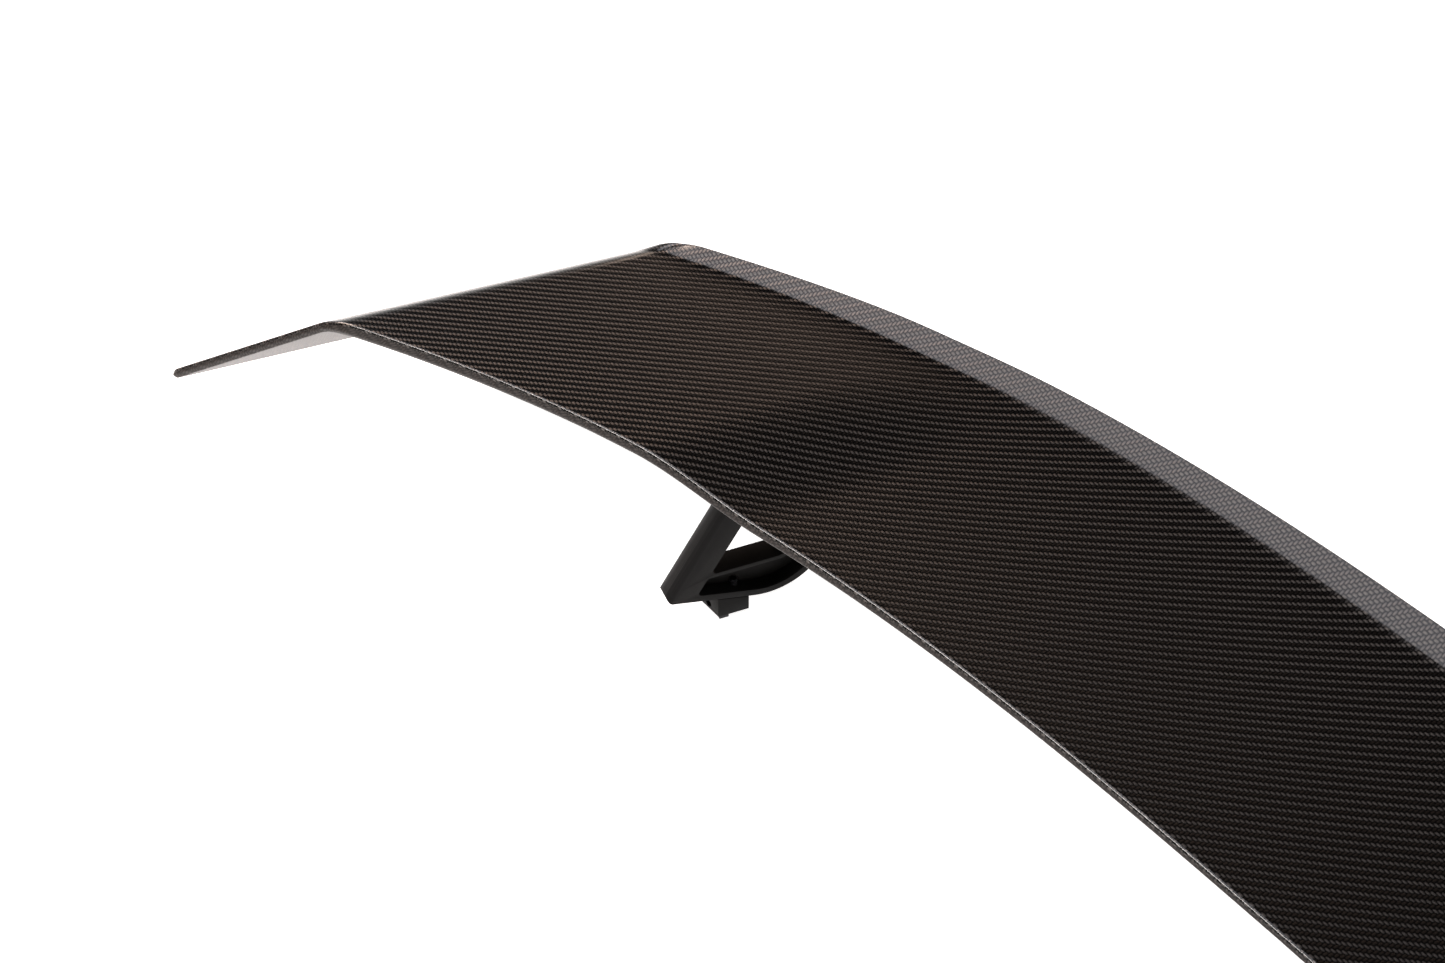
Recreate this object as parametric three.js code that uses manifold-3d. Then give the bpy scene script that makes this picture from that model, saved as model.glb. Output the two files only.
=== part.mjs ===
// Racing rear wing: a twill carbon blade with a kicked-up trailing lip and turned-down ends,
// carried by two V-shaped struts on foot blocks.
//
// Millimetres, +Z up, +Y rearward, +X to the wing's right. While the wing is being built, Y is 0 at the
// leading edge on the centre plane and Z is 0 at the underside of the foot blocks. The finished wing is
// shifted along Y, so that its origin is the middle of its footprint.

import * as THREE from 'three';
import { mergeVertices } from 'three/addons/utils/BufferGeometryUtils.js';
import Module from 'manifold-3d';

const wasm = await Module();
wasm.setup();

// ---------------------------------------------------------------- driving dimensions

// Plan outline: each edge falls forward from its centre by sweep * (distance / SWEEP_REACH) ** power.
const CENTRE_CHORD = 224.6;
const SWEEP_REACH = 600;
const LEAD_SWEEP = 80.7;
const LEAD_POWER = 2.65;
const TRAIL_SWEEP = 92.4;
const TRAIL_POWER = 2.57;

// Turned-down ends: where the fold starts on each edge, and the fold itself.
const FOLD_LEAD_X = 722;
const FOLD_TRAIL_X = 668;
const FOLD_ANGLE = THREE.MathUtils.degToRad(40.5);
const FOLD_RADIUS = 36;
const END_PLATE_DEPTH = 118;
const END_FRONT_ROUND = 7;
const END_REAR_ROUND = 26;

// Heights of the top face above the feet, from the nose to the crease of the lip.
const NOSE_HEIGHT = 136.8;
const CENTRE_FALL = -17.3;
const CENTRE_RISE = 23.5;
const OUTER_NOSE_HEIGHT = 147.8;
const OUTER_FALL = -6.5;
const STEP_START = 0.56;
const STEP_END = 0.7;
const DROOP_START = 0.75;
const DROOP = 10.5;

// Trailing lip.
const LIP_RUN = 18;
const LIP_RUN_OUTER = 13;
const LIP_SLOPE = Math.tan(THREE.MathUtils.degToRad(31));
const LIP_FADE_START = -18;
const LIP_FADE_END = 28;

// Blade thickness and laminate.
const CREASE_DEPTH = 5.8;
const EDGE_DEPTH = 4.5;
const BLADE_BULGE = 5;
const BULGE_POWER = 0.8;
const BULGE_FADE_START = 0.6;
const SKIN = 1.5;
const GAP = 0.3;
const NOSE_BOND = 3.5;
const NOSE_PROFILE = [[-2.6, -3.4], [-3, -5], [-2.2, -6.7], [0.4, -8.3], [3.4, -8.8]];
const NOSE_SCALE_CENTRE = 0.7;
const NOSE_SCALE_FOLD = 1.22;
const NOSE_SCALE_END = 0.78;
const NOSE_DEPTH = 8.8;
const NOSE_JOINT = -0.8;
const UNDERSIDE_START = 9;
const CORE_START = 10;
const END_CLOSE_OUT = 6;
const LIP_POINTS = 3;
const CORE_JOINT = 0.5;
const CORE_JOINT_GAP = 0.0006;
const TIP_CORE_START = 1;
const TIP_CORE_SHORT = 18;

// Struts. Each lies in an upright plane that is toed in, and is drawn there: run is measured rearward along
// the plane from the strut's own origin, which is STRUT_X from the centre plane.
const STRUT_TOE = THREE.MathUtils.degToRad(14.5);
const STRUT_X = 481.4;
const STRUT_Y = -40.5;
const STRUT_THICKNESS = 18;
const LEG_LEAN = THREE.MathUtils.degToRad(58.9);
const LEG_DEPTH = 20.5;
const LEG_FRONT = new THREE.Vector2(-6.8, 32.4);
const NOSE_ROUND = 5.5;
const SOLE_FALL = THREE.MathUtils.degToRad(-12.76);
const SOLE_POINT = new THREE.Vector2(14.4, 20.5);
const HEEL_RADIUS = 5;
const ARM_LEAN = THREE.MathUtils.degToRad(62);
const ARM_DEPTH = 26;
const ARM_BACK = new THREE.Vector2(105.2, 34.4);
const ARM_BACK_RADIUS = 46;
const ARM_TOP = 42;
const ARM_TOP_RADIUS = 16;
const CROTCH_RADIUS = 2.5;
const STRUT_TOP = 150;

// The pocket in each arm's inboard side.
const POCKET_DEPTH = 11;
const POCKET_RIM = 5;
const POCKET_TOP_RIM = 3;
const POCKET_TOP = 112;

// Flanges under the blade, their gaskets and their hardpoints.
const FLANGE_RUNS = { front: 52, rear: 135 };
const FLANGE_FLOORS = { front: 119, rear: 117 };
const SCREW_ENDS = { front: 137.5, rear: 136 };
const FLANGE_LENGTH = 34;
const FLANGE_WIDTH = 50;
const GASKET = 1.5;
const SCREW_SPREAD = 16.5;
const HARDPOINT_LENGTH = 30;
const HARDPOINT_WIDTH = 46;

// Feet, one under each strut. Their front faces lie square across the car.
const FOOT_START = 28.5;
const FOOT_LENGTH = 22.5;
const FOOT_WIDTH = 22;
const FOOT_OFFSET = -2;
const FOOT_SCREW_RUN = 43;
const PEG_RUNS = [29.5, 36.5];
const PEG_SIDES = [1.7, 8.2];
const PEG_PROUD = 3;
const PEG_END = 8;
const GRUB_HEIGHT = 5;
const GRUB_HOLE_RADIUS = 3;

// Fasteners.
const SCREW_RADIUS = 3;
const CLEARANCE = 0.3;
const HEAD_RADIUS = 5;
const HEAD_HEIGHT = 3.6;
const SOCKET_RADIUS = 2.3;
const SOCKET_DEPTH = 2;
const FOOT_SCREW_END = 24;
const GRUB_RADIUS = 2.6;
const GRUB_LENGTH = 5;
const GRUB_INSET = 2.5;
const HEAD_CHAMFER = 0.4;
const THREAD_CHAMFER = 0.8;
const ROUND_STEPS = 14;

// How far a cutter reaches beyond the face where it starts, and beyond a part that it passes right through.
const PAST = 1;
const THROUGH = 60;

// ---------------------------------------------------------------- materials

function finish(color, roughness, metalness) {
  return new THREE.MeshStandardMaterial({ color, roughness, metalness });
}

const carbon = finish('#1b1a19', 0.35, 0);
const foam = finish('#d8c9a0', 0.9, 0);
const satinBlack = finish('#242321', 0.5, 0.2);
const bareAluminium = finish('#b9bcc0', 0.4, 1);
const blackRubber = finish('#161616', 0.9, 0);
const blackSteel = finish('#2a2a2c', 0.45, 0.9);

// ---------------------------------------------------------------- solids

/** The manifold solid of a closed three.js geometry. */
function solidOf(geometry) {
  const bare = geometry.clone();
  bare.deleteAttribute('normal');
  bare.deleteAttribute('uv');
  const merged = mergeVertices(bare, 1e-4);
  const mesh = new wasm.Mesh({
    numProp: 3,
    vertProperties: new Float32Array(merged.attributes.position.array),
    triVerts: new Uint32Array(merged.index.array),
  });
  return new wasm.Manifold(mesh);
}

/** The three.js geometry of a manifold solid. */
function geometryOf(solid) {
  const mesh = solid.getMesh();
  const geometry = new THREE.BufferGeometry();
  geometry.setAttribute('position', new THREE.BufferAttribute(mesh.vertProperties, 3));
  geometry.setIndex(new THREE.BufferAttribute(mesh.triVerts, 1));
  geometry.computeVertexNormals();
  return geometry;
}

/** A closed body through equal rings of points, with flat ends and quads split along the shorter diagonal. */
function loft(rings) {
  const count = rings[0].length;
  const index = [];
  for (let ring = 0; ring + 1 < rings.length; ring++) {
    for (let i = 0; i < count; i++) {
      const next = (i + 1) % count;
      const a = ring * count + i;
      const b = ring * count + next;
      const rising = rings[ring][i].place.distanceTo(rings[ring + 1][next].place);
      const falling = rings[ring][next].place.distanceTo(rings[ring + 1][i].place);
      if (rising < falling) index.push(a, b, b + count, a, b + count, a + count);
      else index.push(a, b, a + count, b, b + count, a + count);
    }
  }
  const flat = ring => rings[ring].map(point => new THREE.Vector2(point.chordwise, point.height));
  const last = (rings.length - 1) * count;
  for (const [a, b, c] of THREE.ShapeUtils.triangulateShape(flat(0), [])) index.push(c, b, a);
  for (const [a, b, c] of THREE.ShapeUtils.triangulateShape(flat(rings.length - 1), [])) {
    index.push(last + a, last + b, last + c);
  }
  const geometry = new THREE.BufferGeometry();
  const places = rings.flat().flatMap(point => point.place.toArray());
  geometry.setAttribute('position', new THREE.Float32BufferAttribute(places, 3));
  geometry.setIndex(index);
  return geometry;
}

// ---------------------------------------------------------------- blade surface

const leadY = x => -LEAD_SWEEP * (x / SWEEP_REACH) ** LEAD_POWER;
const trailY = x => CENTRE_CHORD - TRAIL_SWEEP * (x / SWEEP_REACH) ** TRAIL_POWER;
const slopeOf = (edge, x) => edge(x + 0.5) - edge(x - 0.5);

const foldLead = new THREE.Vector2(FOLD_LEAD_X, leadY(FOLD_LEAD_X));
const foldTrail = new THREE.Vector2(FOLD_TRAIL_X, trailY(FOLD_TRAIL_X));
const foldChord = foldTrail.distanceTo(foldLead);
const foldAft = foldTrail.clone().sub(foldLead).normalize();
const foldOut = new THREE.Vector2(foldAft.y, -foldAft.x);

/** How far an edge runs along the fold for each millimetre that it runs out from it. */
function edgeRun(edge, x) {
  const tangent = new THREE.Vector2(1, slopeOf(edge, x));
  return tangent.dot(foldAft) / tangent.dot(foldOut);
}

const LEAD_RUN = edgeRun(leadY, FOLD_LEAD_X);
const TRAIL_RUN = edgeRun(trailY, FOLD_TRAIL_X);
const FOLD_ARC = FOLD_RADIUS * FOLD_ANGLE;
const END_OUT = FOLD_ARC + END_PLATE_DEPTH;

/** How far a rounded corner pulls an edge in, this far out from the fold. */
function cornerPull(out, radius) {
  const into = Math.max(0, out - (END_OUT - radius)) / radius;
  return radius * (1 - Math.sqrt(Math.max(0, 1 - into * into)));
}

/** A chordwise slice of the right half: share is 0 on the centre plane and 1 at the fold; out is past it. */
function station(share, out = 0) {
  if (out === 0) {
    const lead = new THREE.Vector2(FOLD_LEAD_X * share, leadY(FOLD_LEAD_X * share));
    const trail = new THREE.Vector2(FOLD_TRAIL_X * share, trailY(FOLD_TRAIL_X * share));
    const chord = trail.distanceTo(lead);
    return { share, out, lead, chord, aft: trail.sub(lead).normalize() };
  }
  const leadShift = LEAD_RUN * out + cornerPull(out, END_FRONT_ROUND);
  const trailShift = TRAIL_RUN * out - cornerPull(out, END_REAR_ROUND);
  const lead = foldLead.clone().addScaledVector(foldAft, leadShift);
  return { share, out, lead, chord: foldChord + trailShift - leadShift, aft: foldAft };
}

/** Where a point of a slice lies, from its distance behind the nose and its height, on either side. */
function place(slice, chordwise, height, side) {
  const plan = slice.lead.clone().addScaledVector(slice.aft, chordwise);
  let z = height;
  if (slice.out > 0) {
    const turn = Math.min(slice.out / FOLD_RADIUS, FOLD_ANGLE);
    const straight = Math.max(0, slice.out - FOLD_ARC);
    const above = height - foldHeight;
    const outward = FOLD_RADIUS * Math.sin(turn) + straight * Math.cos(turn) + above * Math.sin(turn);
    plan.addScaledVector(foldOut, outward);
    const drop = FOLD_RADIUS * (1 - Math.cos(turn)) + straight * Math.sin(turn);
    z = foldHeight - drop + above * Math.cos(turn);
  }
  return { place: new THREE.Vector3(side * plan.x, plan.y, z), chordwise, height };
}

const outerShare = slice => THREE.MathUtils.smoothstep(slice.share, STEP_END, 1);
const lipRun = slice => THREE.MathUtils.lerp(LIP_RUN, LIP_RUN_OUTER, outerShare(slice));
const pastFold = slice => (slice.share - 1) * FOLD_TRAIL_X + slice.out;
const lipFade = slice => 1 - THREE.MathUtils.smoothstep(pastFold(slice), LIP_FADE_START, LIP_FADE_END);

/** The top face's height, from the share of the way back to the crease, before the lip. */
function bladeHeight(share, back) {
  const step = THREE.MathUtils.smoothstep(share, STEP_START, STEP_END);
  const centre = NOSE_HEIGHT + CENTRE_FALL * back + CENTRE_RISE * back * back;
  const outer = OUTER_NOSE_HEIGHT + OUTER_FALL * back;
  return THREE.MathUtils.lerp(centre, outer, step) - DROOP * Math.max(0, share - DROOP_START);
}

/** The top face's height at a distance behind the nose, lip included. */
function topHeight(slice, chordwise) {
  const crease = slice.chord - lipRun(slice);
  const past = Math.max(0, chordwise - crease);
  return bladeHeight(slice.share, Math.min(chordwise / crease, 1)) + past * LIP_SLOPE * lipFade(slice);
}

/** How deep the nose is, as a share of its drawn profile. */
function noseScale(slice) {
  const onBlade = THREE.MathUtils.lerp(NOSE_SCALE_CENTRE, NOSE_SCALE_FOLD, slice.share);
  return THREE.MathUtils.lerp(onBlade, NOSE_SCALE_END, THREE.MathUtils.smoothstep(slice.out, 0, FOLD_ARC));
}

/** The blade's depth from top to underside at a distance behind the nose. */
function bladeDepth(slice, chordwise) {
  const crease = slice.chord - lipRun(slice);
  if (chordwise >= crease) {
    return THREE.MathUtils.lerp(CREASE_DEPTH, EDGE_DEPTH, (chordwise - crease) / (slice.chord - crease));
  }
  const back = chordwise / crease;
  const bulge = BLADE_BULGE * (1 - THREE.MathUtils.smoothstep(slice.share, BULGE_FADE_START, 1));
  const nose = NOSE_DEPTH * noseScale(slice);
  return THREE.MathUtils.lerp(nose, CREASE_DEPTH, back) + bulge * Math.sin(Math.PI * back ** BULGE_POWER);
}

const foldHeight = bladeHeight(1, 0.5);

/** The distances behind the nose where a slice's faces have points, from front to back. */
function chordPoints(slice, front) {
  const crease = slice.chord - lipRun(slice);
  const shares = [0.1, 0.22, 0.36, 0.52, 0.68, 0.84, 0.94];
  return [front, ...shares.map(share => share * crease), crease, (crease + slice.chord) / 2, slice.chord];
}

const SHARES = [0, 0.14, 0.28, 0.4, 0.5, STEP_START, 0.6, 0.63, 0.66, STEP_END, 0.76, 0.84, 0.92, 1];
const OUTS = [
  ...[0.2, 0.4, 0.6, 0.8, 1].map(share => FOLD_ARC * share),
  FOLD_ARC + END_PLATE_DEPTH * 0.4,
  ...[26, 16, 9, 4.5, 1.5, 0].map(short => END_OUT - short),
];

const halfWing = [...SHARES.map(share => station(share)), ...OUTS.map(out => station(1, out))];

/** The slices from one end of the wing to the other, each with the side that it is on. */
function wholeWing() {
  const left = halfWing.slice(1).reverse().map(slice => ({ slice, side: -1 }));
  return [...left, ...halfWing.map(slice => ({ slice, side: 1 }))];
}

/** A lofted piece of the blade from a function that gives a slice's outline as [chordwise, height] pairs. */
function bladePiece(slices, outline) {
  const rings = slices.map(({ slice, side }) => {
    return outline(slice).map(([chordwise, height]) => place(slice, chordwise, height, side));
  });
  return loft(rings);
}

/** The outline of the upper skin: its inner face from front to back, then its outer face. */
function upperSkinOutline(slice) {
  const points = chordPoints(slice, 0);
  const outer = points.map(c => [c, topHeight(slice, c)]);
  const inner = points.map(c => [c, topHeight(slice, c) - SKIN]);
  return [...inner, ...outer.reverse()];
}

/** The nose below the skins' joint, from the joint round to the underside. */
function noseOutline(slice) {
  const top = topHeight(slice, 0);
  const scale = noseScale(slice);
  const profile = NOSE_PROFILE.map(([c, h]) => [c * scale, top + h * scale]);
  return [[NOSE_JOINT, top - SKIN - GAP], ...profile];
}

/** The underside from just behind the nose to the trailing edge. */
function undersideOutline(slice) {
  return chordPoints(slice, UNDERSIDE_START).map(c => [c, topHeight(slice, c) - bladeDepth(slice, c)]);
}

/** The outline of the lower skin: nose, underside and lip outside, then its inner face back to the nose. */
function lowerSkinOutline(slice) {
  const points = chordPoints(slice, UNDERSIDE_START);
  const closed = slice.out > END_OUT - END_CLOSE_OUT;
  const inner = points.map((c, i) => {
    const under = topHeight(slice, c) - SKIN - GAP;
    const over = topHeight(slice, c) - bladeDepth(slice, c) + SKIN;
    return [c, closed || i >= points.length - LIP_POINTS ? under : over];
  });
  const top = topHeight(slice, 0);
  const front = [
    [NOSE_BOND, top - NOSE_DEPTH * noseScale(slice) + SKIN + GAP],
    [NOSE_BOND, topHeight(slice, NOSE_BOND) - SKIN - GAP],
  ];
  return [...noseOutline(slice), ...undersideOutline(slice), ...inner.reverse(), ...front];
}

/** The outline of a foam core, clear of both skins. */
function coreOutline(slice) {
  const points = chordPoints(slice, CORE_START).slice(0, -LIP_POINTS);
  const under = points.map(c => [c, topHeight(slice, c) - bladeDepth(slice, c) + SKIN + GAP]);
  const over = points.map(c => [c, topHeight(slice, c) - SKIN - GAP]).reverse();
  return [...under, ...over];
}

/** The outline of the closed blade, used to cut what meets its underside. */
function envelopeOutline(slice) {
  const over = chordPoints(slice, UNDERSIDE_START).map(c => [c, topHeight(slice, c)]).reverse();
  return [...noseOutline(slice), ...undersideOutline(slice), ...over, [0, topHeight(slice, 0)]];
}

/** The blade's slices between two shares of the half span, on one side. */
function shareSlices(from, to, side) {
  const inside = SHARES.filter(share => share > from && share < to);
  const slices = [from, ...inside, to].map(share => ({ slice: station(share), side }));
  return side > 0 ? slices : slices.reverse();
}

/** The slices of a turned-down end, from the fold to just short of its edge. */
function endSlices(side) {
  const stop = END_OUT - TIP_CORE_SHORT;
  const outs = [TIP_CORE_START, ...OUTS.filter(out => out < stop), stop];
  const slices = outs.map(out => ({ slice: station(1, out), side }));
  return side > 0 ? slices : slices.reverse();
}

const envelope = solidOf(bladePiece(wholeWing(), envelopeOutline));

// ---------------------------------------------------------------- strut drawing

const direction = angle => new THREE.Vector2(Math.cos(angle), Math.sin(angle));
const lineThrough = (point, angle) => ({ point, along: direction(angle) });

/** The line beside another one, this far to its left. */
function beside(line, distance) {
  const left = new THREE.Vector2(-line.along.y, line.along.x);
  return { point: line.point.clone().addScaledVector(left, distance), along: line.along };
}

/** Where two lines cross. */
function meet(one, other) {
  const between = other.point.clone().sub(one.point);
  const reach = between.cross(other.along) / one.along.cross(other.along);
  return one.point.clone().addScaledVector(one.along, reach);
}

/** A closed shape through corners given as [point, radius], each rounded by its radius. */
function roundedShape(corners) {
  const points = corners.flatMap(([corner, radius], i) => {
    const [before] = corners.at(i - 1);
    const [after] = corners[(i + 1) % corners.length];
    if (!radius) return [corner];
    const back = before.clone().sub(corner).normalize();
    const on = after.clone().sub(corner).normalize();
    const half = Math.acos(back.dot(on)) / 2;
    const centre = back.clone().add(on).normalize().multiplyScalar(radius / Math.sin(half)).add(corner);
    const from = corner.clone().addScaledVector(back, radius / Math.tan(half)).sub(centre);
    const turn = (Math.PI - 2 * half) * Math.sign(-back.cross(on));
    const steps = Math.max(2, Math.ceil(Math.abs(turn) / THREE.MathUtils.degToRad(14)));
    return Array.from({ length: steps + 1 }, (_, step) => {
      return from.clone().rotateAround(new THREE.Vector2(), turn * step / steps).add(centre);
    });
  });
  return new THREE.Shape(points);
}

const level = height => lineThrough(new THREE.Vector2(0, height), 0);
const legFront = lineThrough(LEG_FRONT, LEG_LEAN);
const legBack = beside(legFront, -LEG_DEPTH);
const sole = lineThrough(SOLE_POINT, SOLE_FALL);
const armBack = lineThrough(ARM_BACK, ARM_LEAN);
const armFront = beside(armBack, ARM_DEPTH);
const armTop = level(ARM_TOP);
const strutTop = level(STRUT_TOP);

const strutShape = roundedShape([
  [meet(legFront, strutTop), 0],
  [meet(legFront, sole), HEEL_RADIUS],
  [meet(sole, armBack), ARM_BACK_RADIUS],
  [meet(armBack, strutTop), 0],
  [meet(armFront, strutTop), 0],
  [meet(armFront, armTop), ARM_TOP_RADIUS],
  [meet(legBack, armTop), CROTCH_RADIUS],
  [meet(legBack, strutTop), 0],
]);

const pocketSole = beside(sole, POCKET_RIM);
const pocketBack = beside(armBack, POCKET_RIM);
const pocketFront = beside(armFront, -POCKET_RIM);
const pocketTop = level(ARM_TOP - POCKET_TOP_RIM);
const pocketEnd = level(POCKET_TOP);

const pocketShape = roundedShape([
  [meet(legBack, pocketSole), 1],
  [meet(pocketSole, pocketBack), ARM_BACK_RADIUS - POCKET_RIM],
  [meet(pocketBack, pocketEnd), 3],
  [meet(pocketFront, pocketEnd), 3],
  [meet(pocketFront, pocketTop), ARM_TOP_RADIUS + POCKET_RIM],
  [meet(legBack, pocketTop), 1],
]);

/** A shape of the strut's plane made solid from one distance inboard of its middle to another. */
function slab(shape, from, to) {
  const geometry = new THREE.ExtrudeGeometry(shape, { depth: to - from, bevelEnabled: false });
  geometry.translate(0, 0, from);
  return solidOf(geometry);
}

/** A box in the strut's plane: run, height and inboard distance, each from low to high. */
function strutBox([runLow, runHigh], [heightLow, heightHigh], [sideLow, sideHigh]) {
  const geometry = new THREE.BoxGeometry(runHigh - runLow, heightHigh - heightLow, sideHigh - sideLow);
  geometry.translate((runLow + runHigh) / 2, (heightLow + heightHigh) / 2, (sideLow + sideHigh) / 2);
  return solidOf(geometry);
}

/** An upright rod in the strut's plane. */
function upright(radius, run, side, low, high) {
  const geometry = new THREE.CylinderGeometry(radius, radius, high - low, ROUND_STEPS);
  geometry.translate(run, (low + high) / 2, side);
  return solidOf(geometry);
}

// The strut's plane, drawn with run along X and height along Y, set up on the left of the wing.
const strutPlacement = new THREE.Matrix4().makeBasis(
  new THREE.Vector3(Math.sin(STRUT_TOE), Math.cos(STRUT_TOE), 0),
  new THREE.Vector3(0, 0, 1),
  new THREE.Vector3(Math.cos(STRUT_TOE), -Math.sin(STRUT_TOE), 0),
).setPosition(-STRUT_X, STRUT_Y, 0);
const onLeft = solid => solid.transform(strutPlacement.toArray());

/** The rounded front of the leg, as a long bar that holds everything behind it. */
function noseBar() {
  const half = STRUT_THICKNESS / 2;
  const reach = 260;
  const nose = new THREE.EllipseCurve(0, 0, NOSE_ROUND, half, Math.PI / 2, Math.PI * 1.5);
  const behind = [new THREE.Vector2(reach, -half), new THREE.Vector2(reach, half)];
  const shape = new THREE.Shape([...nose.getPoints(12), ...behind]);
  const geometry = new THREE.ExtrudeGeometry(shape, { depth: 2 * reach, bevelEnabled: false });
  geometry.translate(NOSE_ROUND, 0, -reach);
  geometry.rotateX(-Math.PI / 2);
  geometry.rotateZ(LEG_LEAN - Math.PI / 2);
  geometry.translate(LEG_FRONT.x, LEG_FRONT.y, 0);
  return solidOf(geometry);
}

/** A block where the front or rear flange lies: its length and width, and its lowest and highest place. */
function flangeBlock(end, length, width, low, high) {
  const run = FLANGE_RUNS[end];
  return strutBox([run - length / 2, run + length / 2], [low, high], [-width / 2, width / 2]);
}

const ENDS = ['front', 'rear'];
const SPREADS = { inner: SCREW_SPREAD, outer: -SCREW_SPREAD };

/** The clearance holes of the four blade screws. */
function screwHoles() {
  const holes = ENDS.flatMap(end => Object.values(SPREADS).map(side => {
    const start = FLANGE_FLOORS[end] - PAST;
    const stop = SCREW_ENDS[end] + 2 * CLEARANCE;
    return upright(SCREW_RADIUS + CLEARANCE, FLANGE_RUNS[end], side, start, stop);
  }));
  return onLeft(wasm.Manifold.union(holes));
}

/** The left strut, cut to follow the underside of the blade, leaving room for the gaskets. */
function strut() {
  const half = STRUT_THICKNESS / 2;
  const bare = slab(strutShape, -half, half).intersect(noseBar());
  const pocketed = bare.subtract(slab(pocketShape, half - POCKET_DEPTH, half + PAST));
  const flanges = ENDS.map(end => {
    return flangeBlock(end, FLANGE_LENGTH, FLANGE_WIDTH, FLANGE_FLOORS[end], STRUT_TOP);
  });
  const whole = wasm.Manifold.union([pocketed, ...flanges]);
  const footHole = upright(SCREW_RADIUS + CLEARANCE, FOOT_SCREW_RUN, 0, 0, FOOT_SCREW_END + PAST);
  const drilled = whole.subtract(footHole);
  const lowered = envelope.translate(0, 0, -GASKET - 2 * GAP);
  const below = onLeft(drilled).subtract(lowered).decompose().sort((a, b) => b.volume() - a.volume())[0];
  return below.subtract(screwHoles());
}

/** A gasket between a flange and the lower skin. */
function gasket(end) {
  const region = onLeft(flangeBlock(end, FLANGE_LENGTH - 1, FLANGE_WIDTH - 1, FLANGE_FLOORS[end], STRUT_TOP));
  const layer = envelope.translate(0, 0, -GASKET - GAP).subtract(envelope.translate(0, 0, -GAP));
  const under = region.intersect(layer);
  const lowest = under.decompose().sort((a, b) => a.boundingBox().min[2] - b.boundingBox().min[2])[0];
  return lowest.subtract(screwHoles());
}

/** The region of a hardpoint inside the blade, grown by a margin all round. */
function hardpointRegion(end, margin) {
  const length = HARDPOINT_LENGTH + 2 * margin;
  return onLeft(flangeBlock(end, length, HARDPOINT_WIDTH + 2 * margin, 0, STRUT_TOP + THROUGH));
}

/** A foot block: its top follows the strut's sole and its front face is square across the car. */
function footBlock() {
  const soleBelow = beside(sole, -GAP);
  const stop = FOOT_START + FOOT_LENGTH;
  const slant = FOOT_WIDTH * Math.tan(STRUT_TOE);
  const upTo = run => meet(soleBelow, lineThrough(new THREE.Vector2(run, 0), Math.PI / 2));
  const start = FOOT_START - slant;
  const base = [new THREE.Vector2(start, 0), new THREE.Vector2(stop, 0)];
  const side = new THREE.Shape([...base, upTo(stop), upTo(start)]);
  const half = FOOT_WIDTH / 2;
  const plan = new THREE.Shape([
    new THREE.Vector2(start, half - FOOT_OFFSET),
    new THREE.Vector2(FOOT_START, -half - FOOT_OFFSET),
    new THREE.Vector2(stop, -half - FOOT_OFFSET),
    new THREE.Vector2(stop, half - FOOT_OFFSET),
  ].reverse());
  const planGeometry = new THREE.ExtrudeGeometry(plan, { depth: THROUGH + PAST, bevelEnabled: false });
  planGeometry.rotateX(-Math.PI / 2).translate(0, -PAST, 0);
  const block = slab(side, FOOT_OFFSET - half, FOOT_OFFSET + half).intersect(solidOf(planGeometry));
  return block
    .subtract(upright(SCREW_RADIUS + CLEARANCE, FOOT_SCREW_RUN, 0, -PAST, THROUGH))
    .subtract(upright(HEAD_RADIUS + CLEARANCE, FOOT_SCREW_RUN, 0, -PAST, HEAD_HEIGHT + 2 * CLEARANCE))
    .subtract(peg(CLEARANCE))
    .subtract(grubRod(GRUB_HOLE_RADIUS, -PAST, GRUB_INSET + GRUB_LENGTH + 2 * CLEARANCE));
}

/** The square peg under a foot's front inboard corner, grown by a margin all round. */
function peg(margin) {
  const grow = ([low, high]) => [low - margin, high + margin];
  return strutBox(grow(PEG_RUNS), grow([-PEG_PROUD, PEG_END]), grow(PEG_SIDES));
}

/** A rod along the grub screw's axis, square to the foot's front face, from its middle inward. */
function grubRod(radius, from, to) {
  const geometry = new THREE.CylinderGeometry(radius, radius, to - from, ROUND_STEPS);
  geometry.rotateZ(-Math.PI / 2);
  geometry.translate((from + to) / 2, 0, 0);
  geometry.rotateY(STRUT_TOE);
  geometry.translate(FOOT_START - FOOT_WIDTH / 2 * Math.tan(STRUT_TOE), GRUB_HEIGHT, FOOT_OFFSET);
  return solidOf(geometry);
}

// ---------------------------------------------------------------- fasteners

/** A socket cap screw, its head down at the origin and its shank up to a length. */
function capScrew(length) {
  const outline = [
    [0, -HEAD_HEIGHT],
    [HEAD_RADIUS - HEAD_CHAMFER, -HEAD_HEIGHT],
    [HEAD_RADIUS, HEAD_CHAMFER - HEAD_HEIGHT],
    [HEAD_RADIUS, 0],
    [SCREW_RADIUS, 0],
    [SCREW_RADIUS, length - THREAD_CHAMFER],
    [SCREW_RADIUS - THREAD_CHAMFER, length],
    [0, length],
  ].map(([radius, height]) => new THREE.Vector2(radius, height));
  const socket = new THREE.CylinderGeometry(SOCKET_RADIUS, SOCKET_RADIUS, 2 * SOCKET_DEPTH, 6);
  socket.translate(0, -HEAD_HEIGHT, 0);
  return solidOf(new THREE.LatheGeometry(outline, ROUND_STEPS)).subtract(solidOf(socket));
}

/** The grub screw, with its hexagon socket facing forward. */
function grubScrew() {
  const body = grubRod(GRUB_RADIUS, GRUB_INSET, GRUB_INSET + GRUB_LENGTH);
  return body.subtract(grubRod(GRUB_RADIUS / 2, 0, GRUB_INSET + GRUB_LENGTH / 2));
}

// ---------------------------------------------------------------- assembly

const wing = new THREE.Group();

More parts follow.
